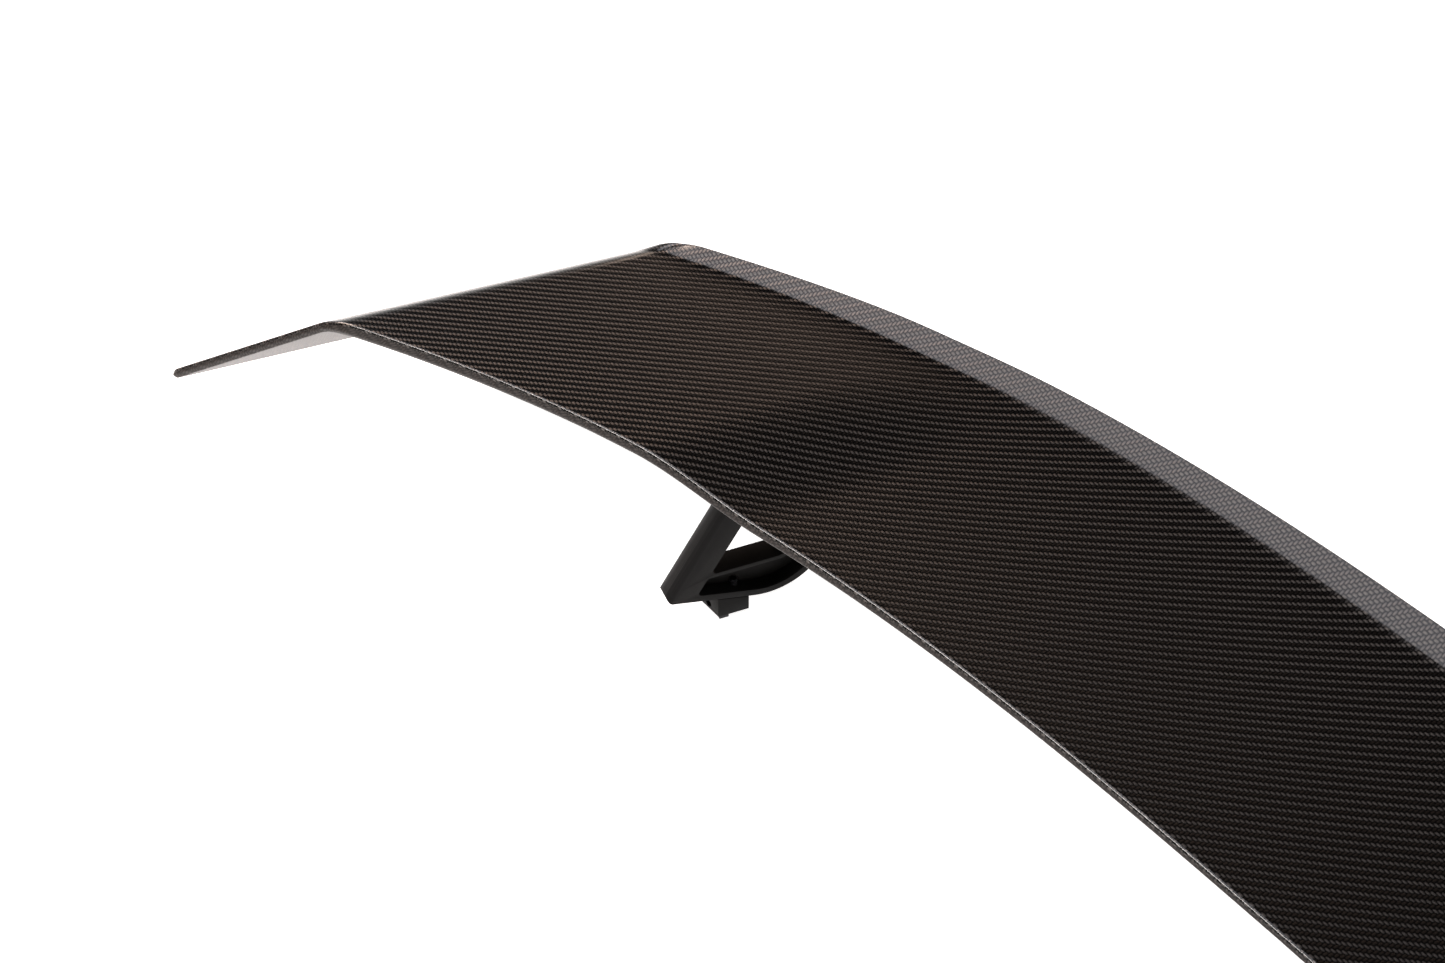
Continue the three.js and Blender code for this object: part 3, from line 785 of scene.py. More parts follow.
@dataclass
class BladeForm:
    """The blade's surface: plan, heights, depths and the turned-down ends."""

    lead: EdgeCurve = field(default_factory=lambda: EdgeCurve(0.0, 80.7, 2.65))
    trail: EdgeCurve = field(default_factory=lambda: EdgeCurve(224.6, 92.4, 2.57))
    fold_lead_x: float = 722.0
    fold_trail_x: float = 668.0
    fold_angle: float = math.radians(40.5)
    fold_radius: float = 36.0
    end_depth: float = 118.0
    end_front_round: float = 7.0
    end_rear_round: float = 26.0
    tip_round: float = 1.0
    nose_height: float = 136.8
    centre_fall: float = -17.3
    centre_rise: float = 23.5
    outer_nose_height: float = 147.8
    outer_fall: float = -6.5
    step_start: float = 0.56
    step_end: float = 0.7
    droop_start: float = 0.75
    droop: float = 10.5
    lip_run: float = 18.0
    lip_run_outer: float = 13.0
    lip_slope: float = math.tan(math.radians(31))
    lip_blend: float = 2.5
    lip_fade: Pair = (-18.0, 28.0)
    crease_depth: float = 5.8
    edge_depth: float = 4.5
    bulge: float = 5.0
    nose_depth: float = 8.8
    nose_scales: tuple[float, float, float] = (0.7, 1.22, 0.78)

    def __post_init__(self) -> None:
        """Works out the fold from the plan."""
        self.fold_lead = Vector((self.fold_lead_x, self.lead.y(self.fold_lead_x)))
        self.fold_trail = Vector((self.fold_trail_x, self.trail.y(self.fold_trail_x)))
        self.fold_chord = (self.fold_trail - self.fold_lead).length
        self.fold_aft = (self.fold_trail - self.fold_lead).normalized()
        self.fold_out = Vector((self.fold_aft.y, -self.fold_aft.x))
        self.lead_run = self.edge_run(self.lead, self.fold_lead_x)
        self.trail_run = self.edge_run(self.trail, self.fold_trail_x)
        self.fold_arc = self.fold_radius * self.fold_angle
        self.end_out = self.fold_arc + self.end_depth
        self.fold_height = self.face_height(1.0, 0.5)

    def edge_run(self, edge: EdgeCurve, x: float) -> float:
        """How far an edge runs along the fold for each millimetre out from it."""
        tangent = edge.direction(x)
        return tangent.dot(self.fold_aft) / tangent.dot(self.fold_out)

    def corner_pull(self, out: float, radius: float) -> float:
        """How far a rounded corner pulls an edge in, this far out."""
        into = min(1.0, max(0.0, out - (self.end_out - radius)) / radius)
        return radius * (1 - math.sqrt(1 - into * into))

    def slice_at(self, share: float, out: float = 0.0) -> Slice:
        """The slice at a share of the blade, or at a distance past the fold.

        Args:
            share: 0 on the centre plane and 1 at the fold.
            out: the distance past the fold.

        Returns:
            The slice.
        """
        if out == 0:
            lead = Vector((self.fold_lead_x * share, self.lead.y(self.fold_lead_x * share)))
            trail = Vector((self.fold_trail_x * share, self.trail.y(self.fold_trail_x * share)))
            return Slice(share, out, lead, (trail - lead).length, (trail - lead).normalized())
        lead_shift = self.lead_run * out + self.corner_pull(out, self.end_front_round)
        trail_shift = self.trail_run * out - self.corner_pull(out, self.end_rear_round)
        lead = self.fold_lead + self.fold_aft * lead_shift
        return Slice(share, out, lead, self.fold_chord + trail_shift - lead_shift, self.fold_aft)

    def face_height(self, share: float, back: float) -> float:
        """The top face's height without the lip, at a share of the way back to the crease.

        Args:
            share: the share of the way out to the fold.
            back: the share of the way back to the crease.

        Returns:
            The height.
        """
        step = smoothstep(share, self.step_start, self.step_end)
        centre = self.nose_height + self.centre_fall * back + self.centre_rise * back * back
        outer = self.outer_nose_height + self.outer_fall * back
        return lerp(centre, outer, step) - self.droop * max(0.0, share - self.droop_start)

    def crease(self, cut: Slice) -> float:
        """How far behind the nose the lip starts."""
        return cut.chord - lerp(self.lip_run, self.lip_run_outer, smoothstep(cut.share, self.step_end, 1))

    def tip_inset(self, cut: Slice) -> float:
        """How far the rounded bottom edge of an end draws its faces in."""
        into = min(1.0, max(0.0, cut.out - (self.end_out - self.tip_round)) / self.tip_round)
        return self.tip_round * (1 - math.sqrt(1 - into * into))

    def top(self, cut: Slice, back: float) -> float:
        """The top face's height at a distance behind the nose.

        Args:
            cut: the slice.
            back: the distance behind the nose.

        Returns:
            The height, with the lip.
        """
        crease = self.crease(cut)
        past = back - crease
        rise = (past + math.sqrt(past * past + self.lip_blend ** 2)) / 2 if past > -12 else 0.0
        past_fold = (cut.share - 1) * self.fold_trail_x + cut.out
        fade = 1 - smoothstep(past_fold, *self.lip_fade)
        face = self.face_height(cut.share, min(back / crease, 1.0))
        return face + rise * self.lip_slope * fade - self.tip_inset(cut)

    def nose_scale(self, cut: Slice) -> float:
        """How deep the nose is, as a share of its drawn depth."""
        centre, fold, end = self.nose_scales
        return lerp(lerp(centre, fold, cut.share), end, smoothstep(cut.out, 0, self.fold_arc))

    def depth(self, cut: Slice, back: float) -> float:
        """The blade's depth from top to underside at a distance behind the nose.

        Args:
            cut: the slice.
            back: the distance behind the nose.

        Returns:
            The depth.
        """
        crease = self.crease(cut)
        inset = 2 * self.tip_inset(cut)
        if back >= crease:
            return lerp(self.crease_depth, self.edge_depth, (back - crease) / (cut.chord - crease)) - inset
        share = back / crease
        bulge = self.bulge * (1 - smoothstep(cut.share, 0.6, 1)) * math.sin(math.pi * share ** 0.8)
        return lerp(self.nose_depth * self.nose_scale(cut), self.crease_depth, share) + bulge - inset

    def place(self, cut: Slice, back: float, height: float, side: Side) -> Vector:
        """Where a point of a slice lies.

        Args:
            cut: the slice.
            back: the distance behind the nose.
            height: the height before the ends are turned down.
            side: the half of the wing.

        Returns:
            The point.
        """
        plan = cut.lead + cut.aft * back
        z = height
        if cut.out > 0:
            turn = min(cut.out / self.fold_radius, self.fold_angle)
            straight = max(0.0, cut.out - self.fold_arc)
            above = height - self.fold_height
            outward = self.fold_radius * math.sin(turn) + straight * math.cos(turn) + above * math.sin(turn)
            plan = plan + self.fold_out * outward
            drop = self.fold_radius * (1 - math.cos(turn)) + straight * math.sin(turn)
            z = self.fold_height - drop + above * math.cos(turn)
        return Vector((side.value * plan.x, plan.y, z))

    def cloth_place(self, cut: Slice, cloth: float, side: Side) -> Vector:
        """The same point on the cloth laid flat: weft distance and warp distance."""
        plan = cut.lead + cut.aft * cloth + self.fold_out * cut.out
        return Vector((side.value * plan.x, plan.y, 0.0))

    def weft_run(self, cut: Slice, side: Side) -> Vector:
        """The direction that the weft threads take across the wing."""
        turn = min(cut.out / self.fold_radius, self.fold_angle)
        return Vector((math.cos(turn), 0.0, -side.value * math.sin(turn)))


@dataclass
class Shift:
    """Moves what is drawn from the blade's nose and the feet's underside into the frame's own place."""

    form: BladeForm
    peg_proud: float = 3.0

    def vector(self) -> Vector:
        """The shift in millimetres, from the frame's box."""
        rear = max(corner[1] for corner in CAD_BOX) / MM
        return Vector((0.0, rear - self.form.trail.centre, self.peg_proud))


@dataclass
class Blade:
    """The two carbon skins of the wing, from tip to tip."""

    form: BladeForm
    shift: Vector
    finishes: Finishes
    skin: float = 1.5
    joint: float = 0.15
    bond: float = 3.5
    share_steps: int = 210
    fold_steps: int = 24
    plate_steps: int = 26
    corner_steps: int = 16
    tip_steps: int = 6
    arc_steps: int = 6
    nose_top_end: float = 4.0
    nose_floor_end: float = 9.0
    seam_below_bend: float = 0.75
    edge_round: float = 0.7
    crease_before: float = 7.0
    crease_after: float = 5.0
    # What is bolted on is fitted under this stretch of the left half.
    layer_shares: Pair = (0.5, 0.84)
    layer_slices: int = 60
    layer_parts: int = 40
    layer_front: float = 10.0
    layer_rear: float = 5.0

    def half(self) -> list[Slice]:
        """The slices of the right half, from the centre plane to the tip.

        Returns:
            The slices, in order.
        """
        form = self.form
        rear_round = form.end_out - form.end_rear_round
        tip = form.end_out - form.tip_round
        outs = spread(0.0, form.fold_arc, self.fold_steps)[1:]
        outs += spread(form.fold_arc, rear_round, self.plate_steps)
        for low, high, steps in ((rear_round, tip, self.corner_steps), (tip, form.end_out, self.tip_steps)):
            outs += [lerp(low, high, math.sin(part * math.pi / 2)) for part in spread(0.0, 1.0, steps)]
        outs.append(form.end_out)
        shares = [step / self.share_steps for step in range(self.share_steps + 1)]
        return [form.slice_at(share) for share in shares] + [form.slice_at(1.0, out) for out in outs]

    def whole(self) -> list[tuple[Slice, Side]]:
        """Every slice from the left tip to the right tip."""
        half = self.half()
        return [(cut, Side.LEFT) for cut in reversed(half[1:])] + [(cut, Side.RIGHT) for cut in half]

    def backs(self, cut: Slice, start: float, count: int) -> list[float]:
        """Distances behind the nose, closest together in the crease of the lip.

        Args:
            cut: the slice.
            start: the first distance.
            count: how many lie before the crease.

        Returns:
            The distances, in order.
        """
        crease = self.form.crease(cut)
        before, after = crease - self.crease_before, crease + self.crease_after
        end = cut.chord - self.edge_round
        return [*spread(start, before, count), *spread(before, after, 12), *spread(after, end, 5), end]

    def underside(self, cut: Slice, back: float) -> float:
        """The underside's height at a distance behind the nose."""
        return self.form.top(cut, back) - self.form.depth(cut, back)

    def nose(self, cut: Slice) -> list[Vector]:
        """The section of the nose from the top face round to the underside, with a fixed number of points.

        Args:
            cut: the slice.

        Returns:
            The points, the same number in every slice.
        """
        form = self.form
        scale = form.nose_scale(cut)
        top = form.top(cut, 0.0)
        squeeze = 1 - 2 * form.tip_inset(cut) / form.nose_depth
        drop = scale * squeeze
        corners = [
            (Vector((self.nose_top_end, form.top(cut, self.nose_top_end))), 0.0),
            (Vector((-0.5, top)), 2.6 * squeeze),
            (Vector((-3.3 * scale, top - 5.2 * drop)), 1.7 * drop),
            (Vector((-0.4 * scale, top - 8.7 * drop)), 2.6 * drop),
            (Vector((self.nose_floor_end, self.underside(cut, self.nose_floor_end))), 0.0),
        ]
        return rounded(corners, closed=False, steps=self.arc_steps)

    def split_nose(self, cut: Slice) -> tuple[list[Vector], list[Vector]]:
        """The nose above and below the joint of the skins.

        Args:
            cut: the slice.

        Returns:
            The upper skin's points and the lower skin's.
        """
        points = self.nose(cut)
        bend = 1 + self.arc_steps + 1
        above, below = points[:bend], points[bend:]
        down = (below[0] - above[-1]).normalized()
        seam = above[-1] + down * self.seam_below_bend
        return [*above, seam], [seam + down * self.joint, *below]

    def wrap_cloth(self, start: Vector, points: Iterable[Vector], place: float) -> list[Spot]:
        """Lays the cloth round the nose: its place falls by the distance travelled.

        Args:
            start: the point where the cloth turns round the nose.
            points: the nose's points from there on.
            place: the cloth's place at the start.

        Returns:
            The points with their places on the flat cloth.
        """
        spots: list[Spot] = []
        travelled = 0.0
        previous = start
        for point in points:
            travelled += (point - previous).length
            previous = point
            spots.append(Spot(point.x, point.y, place - travelled))
        return spots

    def upper_outline(self, cut: Slice) -> list[Spot]:
        """The upper skin's section: inside from front to back, then outside from back to front.

        Args:
            cut: the slice.

        Returns:
            The outline's points.
        """
        form = self.form
        front, _ = self.split_nose(cut)
        start = self.nose_top_end
        nose = self.wrap_cloth(Vector((start, form.top(cut, start))), front[1:], start)
        face = [Spot(back, form.top(cut, back), back) for back in self.backs(cut, start, 46)]
        edge = form.top(cut, cut.chord)
        corner = [
            Spot(cut.chord - 0.2, edge - 0.2, cut.chord),
            Spot(cut.chord, edge - self.edge_round, cut.chord + 0.5),
        ]
        end = Spot(cut.chord, edge - self.skin, cut.chord + 1.3)
        inner_backs = [1.2, *spread(6.0, cut.chord - 1, 24)]
        inside = [Spot(back, form.top(cut, back) - self.skin, back) for back in inner_backs]
        return [*inside, end, *reversed(corner), *reversed(face), *nose]

    def lower_outline(self, cut: Slice) -> list[Spot]:
        """The lower skin's section: nose and underside from front to back, then inside from back to front.

        Args:
            cut: the slice.

        Returns:
            The outline's points.
        """
        form = self.form
        _, below = self.split_nose(cut)
        nose = self.wrap_cloth(below[-1], reversed(below), self.nose_floor_end)
        backs = self.backs(cut, self.nose_floor_end, 40)[1:]
        under = [Spot(back, self.underside(cut, back), back) for back in backs]
        edge = form.top(cut, cut.chord)
        thick = form.depth(cut, cut.chord)
        gap = self.skin + self.joint
        lift = min(self.edge_round, (thick - gap) / 2)
        corner = [
            Spot(cut.chord - 0.2, edge - thick + 0.3 * lift, cut.chord),
            Spot(cut.chord, edge - thick + lift, cut.chord + 0.5),
            Spot(cut.chord, edge - gap, cut.chord + 1.2),
        ]
        closed = smoothstep(cut.out, form.end_out - 7, form.end_out - 5)
        stop = form.crease(cut) - 4
        inside = []
        for back in reversed([*spread(self.bond, stop, 24), stop]):
            roof = form.top(cut, back) - gap
            floor = self.underside(cut, back) + self.skin
            inside.append(Spot(back, lerp(min(floor, roof), roof, closed), back))
        lid = [Spot(back, form.top(cut, back) - gap, back) for back in (cut.chord - 1, stop + 1)]
        front = [Spot(self.bond - 0.4, form.top(cut, self.bond) - gap, 2.0)]
        return [*reversed(nose), *under, *corner, *lid, *inside, *front]

    def skin_piece(self, name: str, outline: Callable[[Slice], list[Spot]],
                   finish: bpy.types.Material) -> bpy.types.Object:
        """Lofts a skin through every slice and lays the cloth on it.

        Args:
            name: the piece's name.
            outline: gives a slice's section.
            finish: the laminate.

        Returns:
            The finished skin.
        """
        rings: list[list[Vector]] = []
        cloth: list[float] = []
        weft: list[float] = []
        for cut, side in self.whole():
            spots = outline(cut)
            run = self.form.weft_run(cut, side)
            rings.append([self.form.place(cut, spot.back, spot.height, side) + self.shift for spot in spots])
            for spot in spots:
                cloth.extend(self.form.cloth_place(cut, spot.cloth, side))
                weft.extend(run)
        mesh = loft(name, rings)
        mesh.attributes.new("cloth", "FLOAT_VECTOR", "POINT").data.foreach_set("vector", cloth)
        mesh.attributes.new("weft_run", "FLOAT_VECTOR", "POINT").data.foreach_set("vector", weft)
        shade(mesh, 40)
        piece = new_object(name, mesh)
        piece.data.materials.append(finish)
        return piece

    def build(self) -> None:
        """Makes both skins."""
        upper = self.skin_piece("carbon_upper_skin", self.upper_outline, self.finishes.of(Slot.CARBON))
        # The lower skin takes the darker copy of the carbon, which paints shade on the underside and the nose
        # band.
        lower = self.skin_piece("carbon_lower_skin", self.lower_outline, self.finishes.shaded_carbon)
        place_piece(upper, Slot.CARBON, "upper_skin")
        place_piece(lower, Slot.CARBON, "lower_skin")

    def under_layer(self, name: str, upper: float, lower: float) -> bpy.types.Object:
        """A layer under the left half of the blade, used to fit what is bolted there.

        Args:
            name: the object's name.
            upper: how far below the underside it starts, negative to reach above it.
            lower: how far below the underside it ends.

        Returns:
            The layer, in the frame's place.
        """
        rings = []
        for step in range(self.layer_slices):
            cut = self.form.slice_at(lerp(*self.layer_shares, step / (self.layer_slices - 1)))
            stop = self.form.crease(cut) - self.layer_rear
            parts = range(self.layer_parts + 1)
            backs = [lerp(self.layer_front, stop, part / self.layer_parts) for part in parts]
            under = [(back, self.underside(cut, back)) for back in backs]
            outline = [(back, height - lower) for back, height in under]
            outline += [(back, height - upper) for back, height in reversed(under)]
            rings.append([self.form.place(cut, *spot, Side.LEFT) + self.shift for spot in outline])
        return new_object(name, loft(name, rings))


def place_piece(piece: bpy.types.Object, slot: Slot, node: str) -> None:
    """Fixes a finished piece to the wing in place of its plain solid.

    Args:
        piece: the finished piece.
        slot: its material slot; not used.
        node: the plain solid's name.
    """
    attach(piece, ROOT)
    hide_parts(node)
    LOG.info("%s stands for %s: %d faces", piece.name, node, len(piece.data.polygons))


# ---------------------------------------------------------------- struts


@dataclass
class StrutFrame:
    """The toed-in upright plane that the left strut is drawn in."""

    shift: Vector
    toe: float = math.radians(14.5)
    x: float = 481.4
    y: float = -40.5

    def place(self, run: float, height: float, inboard: float) -> Vector:
        """The point at a run rearward along the plane, a height, and a distance inboard of the plane.

        Args:
            run: the distance rearward along the plane.
            height: above the feet's underside.
            inboard: the distance inboard of the plane.

        Returns:
            The point.
        """
        along = Vector((math.sin(self.toe), math.cos(self.toe), 0.0))
        inward = Vector((math.cos(self.toe), -math.sin(self.toe), 0.0))
        origin = Vector((-self.x, self.y, 0.0)) + self.shift
        return origin + along * run + inward * inboard + Vector((0.0, 0.0, height))

    def place_flat(self, run: float, inboard: float, height: float) -> Vector:
        """The same point, with the height given last, for outlines that lie flat."""
        return self.place(run, height, inboard)

    def set_upright(self, piece: bpy.types.Object, run: float, height: float,
                    inboard: float) -> bpy.types.Object:
        """Moves a solid that was turned about the origin to its place in the plane."""
        piece.data.transform(Matrix.Translation(self.place(run, height, inboard) * MM))
        return piece


@dataclass(frozen=True)
class Line:
    """A straight line in the strut's plane, through a point at an angle."""

    point: Vector
    angle: float

    def along(self) -> Vector:
        """The line's direction."""
        return Vector((math.cos(self.angle), math.sin(self.angle)))

    def beside(self, distance: float) -> "Line":
        """The line this far to the left."""
        along = self.along()
        return Line(self.point + Vector((-along.y, along.x)) * distance, self.angle)

    def meet(self, other: "Line") -> Vector:
        """Where two lines cross.

        Args:
            other: the other line.

        Returns:
            The crossing.
        """
        along, across = self.along(), other.along()
        reach = (other.point - self.point).cross(across) / along.cross(across)
        return self.point + along * reach


def level(height: float) -> Line:
    """A level line at a height."""
    return Line(Vector((0.0, height)), 0.0)


@dataclass
class StrutOutline:
    """The strut's side view: a leaning leg, a sole, and an arm that sweeps back and up."""

    leg_front: Line = field(default_factory=lambda: Line(Vector((-6.8, 32.4)), math.radians(58.9)))
    leg_depth: float = 20.5
    sole: Line = field(default_factory=lambda: Line(Vector((14.4, 20.5)), math.radians(-12.76)))
    heel_radius: float = 5.0
    arm_back: Line = field(default_factory=lambda: Line(Vector((105.2, 34.4)), math.radians(62)))
    arm_depth: float = 26.0
    arm_back_radius: float = 46.0
    arm_top: float = 42.0
    arm_top_radius: float = 16.0
    crotch_radius: float = 2.5
    top: float = 150.0
    rim: float = 5.0
    top_rim: float = 3.0
    pocket_top: float = 112.0

    def body(self) -> list[Vector]:
        """The whole outline.

        Returns:
            The outline's points.
        """
        leg_back = self.leg_front.beside(-self.leg_depth)
        arm_front = self.arm_back.beside(self.arm_depth)
        top, arm_top = level(self.top), level(self.arm_top)
        return rounded([
            (self.leg_front.meet(top), 0.0),
            (self.leg_front.meet(self.sole), self.heel_radius),
            (self.sole.meet(self.arm_back), self.arm_back_radius),
            (self.arm_back.meet(top), 0.0),
            (arm_front.meet(top), 0.0),
            (arm_front.meet(arm_top), self.arm_top_radius),
            (leg_back.meet(arm_top), self.crotch_radius),
            (leg_back.meet(top), 0.0),
        ], closed=True)

    def pocket(self) -> list[Vector]:
        """The outline of the arm's recess.

        Returns:
            The outline's points.
        """
        leg_back = self.leg_front.beside(-self.leg_depth)
        sole = self.sole.beside(self.rim)
        back = self.arm_back.beside(self.rim)
        front = self.arm_back.beside(self.arm_depth - self.rim)
        end, roof = level(self.pocket_top), level(self.arm_top - self.top_rim)
        return rounded([
            (leg_back.meet(sole), 2.5),
            (sole.meet(back), self.arm_back_radius - self.rim),
            (back.meet(end), 4.0),
            (front.meet(end), 4.0),
            (front.meet(roof), self.arm_top_radius + self.rim),
            (leg_back.meet(roof), 2.0),
        ], closed=True)


@dataclass
class Strut:
    """One cast V strut with its gaskets and its blade screws."""

    blade: Blade
    plane: StrutFrame
    finishes: Finishes
    outline: StrutOutline = field(default_factory=StrutOutline)
    thickness: float = 18.0
    nose_round: float = 5.5
    pocket_depth: float = 11.0
    flange_runs: dict[str, float] = field(default_factory=lambda: {"front": 52.0, "rear": 135.0})
    flange_floors: dict[str, float] = field(default_factory=lambda: {"front": 119.0, "rear": 117.0})
    screw_ends: dict[str, float] = field(default_factory=lambda: {"front": 137.5, "rear": 136.0})
    screw_sides: dict[str, float] = field(default_factory=lambda: {"inner": 16.5, "outer": -16.5})
    flange_length: float = 34.0
    flange_width: float = 50.0
    flange_corner: float = 7.0
    gasket: float = 1.5
    gap: float = 0.3
    hole_radius: float = 3.3

    def nose_bar(self) -> bpy.types.Object:
        """A long bar along the leg with an elliptic front, which holds everything behind it.

        Returns:
            The bar.
        """
        half = self.thickness / 2
        reach = 260.0
        turns = [math.radians(angle) for angle in range(-90, 91, 5)]
        section = [(self.nose_round * (1 - math.cos(turn)), half * math.sin(turn)) for turn in turns]
        section += [(reach, half), (reach, -half)]
        leg = self.outline.leg_front
        behind = Vector((math.sin(leg.angle), -math.cos(leg.angle)))

        def place(back: float, inboard: float, travel: float) -> Vector:
            """The point behind the leg's front line, inboard, and along the leg."""
            flat = leg.point + behind * back + leg.along() * travel
            return self.plane.place(flat.x, flat.y, inboard)

        return prism("nose_bar", section, -reach, reach, place)

    def slab(self, name: str, outline: Sequence[Vector], low: float, high: float) -> bpy.types.Object:
        """An outline of the strut's plane made solid between two distances inboard of it."""
        return prism(name, [tuple(point) for point in outline], low, high, self.plane.place)

    def flange(self, end: str, margin: float = 0.0) -> bpy.types.Object:
        """A flange's block, from its floor to above the underside of the blade.

        Args:
            end: front or rear.
            margin: how far it is drawn in all round.

        Returns:
            The block.
        """
        half_run = self.flange_length / 2 - margin
        half_side = self.flange_width / 2 - margin
        run = self.flange_runs[end]
        corners = [(-1, -1), (1, -1), (1, 1), (-1, 1)]
        middles = [Vector((run + a * half_run, b * half_side)) for a, b in corners]
        plan = rounded([(corner, self.flange_corner) for corner in middles], closed=True)
        return prism(f"flange_{end}", [tuple(point) for point in plan],
                     self.flange_floors[end], self.outline.top, self.plane.place_flat)

    def holes(self) -> list[bpy.types.Object]:
        """The clearance holes of the blade screws.

        Returns:
            A rod for each hole.
        """
        return [
            self.plane.set_upright(rod(self.hole_radius, 0, 40), run, self.flange_floors[end] - 1, side)
            for end, run in self.flange_runs.items()
            for side in self.screw_sides.values()
        ]

    def casting(self) -> bpy.types.Object:
        """The strut itself, fitted to the underside of the blade.

        Returns:
            The left strut.
        """
        half = self.thickness / 2
        body = self.slab("cast_strut_left", self.outline.body(), -half, half)
        combine(body, [self.nose_bar()], Cut.KEEP_INSIDE)
        pocket = self.slab("pocket", self.outline.pocket(), half - self.pocket_depth, half + 5)
        combine(body, [pocket], Cut.REMOVE)
        combine(body, [self.flange(end) for end in self.flange_runs], Cut.JOIN)
        clearance = self.gasket + 2 * self.gap
        combine(body, [self.blade.under_layer("blade_room", -60, clearance)], Cut.REMOVE)
        combine(body, self.holes(), Cut.REMOVE)
        return soften(body, 0.7, 3)

    def gasket_piece(self, end: str) -> bpy.types.Object:
        """The rubber gasket between a flange and the blade.

        Args:
            end: front or rear.

        Returns:
            The left gasket.
        """
        pad = self.flange(end, 0.5)
        pad.name = f"rubber_gasket_{end}_left"
        room = self.blade.under_layer("gasket_room", self.gap, self.gap + self.gasket)
        combine(pad, [room], Cut.KEEP_INSIDE)
        combine(pad, self.holes(), Cut.REMOVE)
        return soften(pad, 0.2, 2)

    def build(self) -> None:
        """Makes both struts, with gaskets and screws."""
        both_sides(self.casting(), "strut", Slot.SATIN_BLACK, self.finishes)
        screw = CapScrew()
        for end, run in self.flange_runs.items():
            both_sides(self.gasket_piece(end), f"gasket_{end}", Slot.RUBBER, self.finishes)
            length = self.screw_ends[end] - self.flange_floors[end] + self.gap
            for name, side in self.screw_sides.items():
                piece = screw.piece(f"cap_screw_{end}_{name}_left", length)
                self.plane.set_upright(piece, run, self.flange_floors[end] - self.gap, side)
                both_sides(piece, f"blade_screw_{end}_{name}", Slot.BLACK_STEEL, self.finishes)


def both_sides(left: bpy.types.Object, node: str, slot: Slot, finishes: Finishes) -> None:
    """Dresses a left-hand piece, mirrors it to the right, and fixes both.

    Args:
        left: the left-hand piece, whose name ends in _left.
        node: the plain solids' name, without its side.
        slot: the material slot.
        finishes: the wing's finishes.
    """
    left.data.materials.clear()
    left.data.materials.append(finishes.of(slot))
    right_mesh = left.data.copy()
    right_mesh.transform(Matrix.Scale(-1, 4, Vector((1.0, 0.0, 0.0))))
    right_mesh.flip_normals()
    right = new_object(left.name.replace("_left", "_right"), right_mesh)
    place_piece(left, slot, f"{node}_left")
    place_piece(right, slot, f"{node}_right")


# ---------------------------------------------------------------- feet and fasteners


@dataclass
class CapScrew:
    """An M6 socket cap screw with a knurled head, head down."""

    radius: float = 3.0
    head_radius: float = 5.0
    head_height: float = 3.6
    socket_radius: float = 2.3
    socket_depth: float = 2.0
    ridges: int = 36
    ridge_depth: float = 0.12
    # How far in from the head's side, and how far above its flat end, each point of the rounding is.
    head_round: tuple[Pair, ...] = ((0.9, 0.0), (0.45, 0.1), (0.15, 0.35), (0.0, 0.75))
    # How far in from the head's side, and at what height, each point of its upper edge is.
    head_seat: tuple[Pair, ...] = ((0.0, -0.35), (0.15, -0.05))
    fillet: Pair = (0.35, 0.3)
    thread_start: float = 2.0
    thread_stop: float = 1.2
    thread_pitch: float = 1.0
    thread_depth: float = 0.45
    thread_floor: Pair = (0.45, 0.55)
    point: float = 0.8

    def piece(self, name: str, length: float) -> bpy.types.Object:
        """Turns a screw whose shank reaches up to a length.

        Args:
            name: the piece's name.
            length: the shank's length.

        Returns:
            The screw, standing on the origin by the top of its head.
        """
        low = -self.head_height
        head = self.head_radius
        profile = [(0.0, low)]
        profile += [(head - inset, low + rise) for inset, rise in self.head_round]
        profile += [(head - inset, height) for inset, height in self.head_seat]
        profile += [(self.radius + self.fillet[0], 0.0), (self.radius, self.fillet[1])]
        turns = max(0, int((length - self.thread_start - self.thread_stop) / self.thread_pitch))
        for turn in range(turns):
            base = self.thread_start + turn * self.thread_pitch
            profile.append((self.radius, base))
            profile += [(self.radius - self.thread_depth, base + rise) for rise in self.thread_floor]
        profile += [(self.radius, length - self.point), (self.radius - self.point, length), (0.0, length)]

        def knurled(radius: float, step: int) -> float:
            """The head's side gets ridges; everything else stays round."""
            return radius - self.ridge_depth * (step % 2) if radius == head else radius

        screw = lathe(name, profile, 2 * self.ridges, knurled)
        combine(screw, [hexagon_key(self.socket_radius, low - 2, low + self.socket_depth)], Cut.REMOVE)
        shade(screw.data, 30)
        return screw


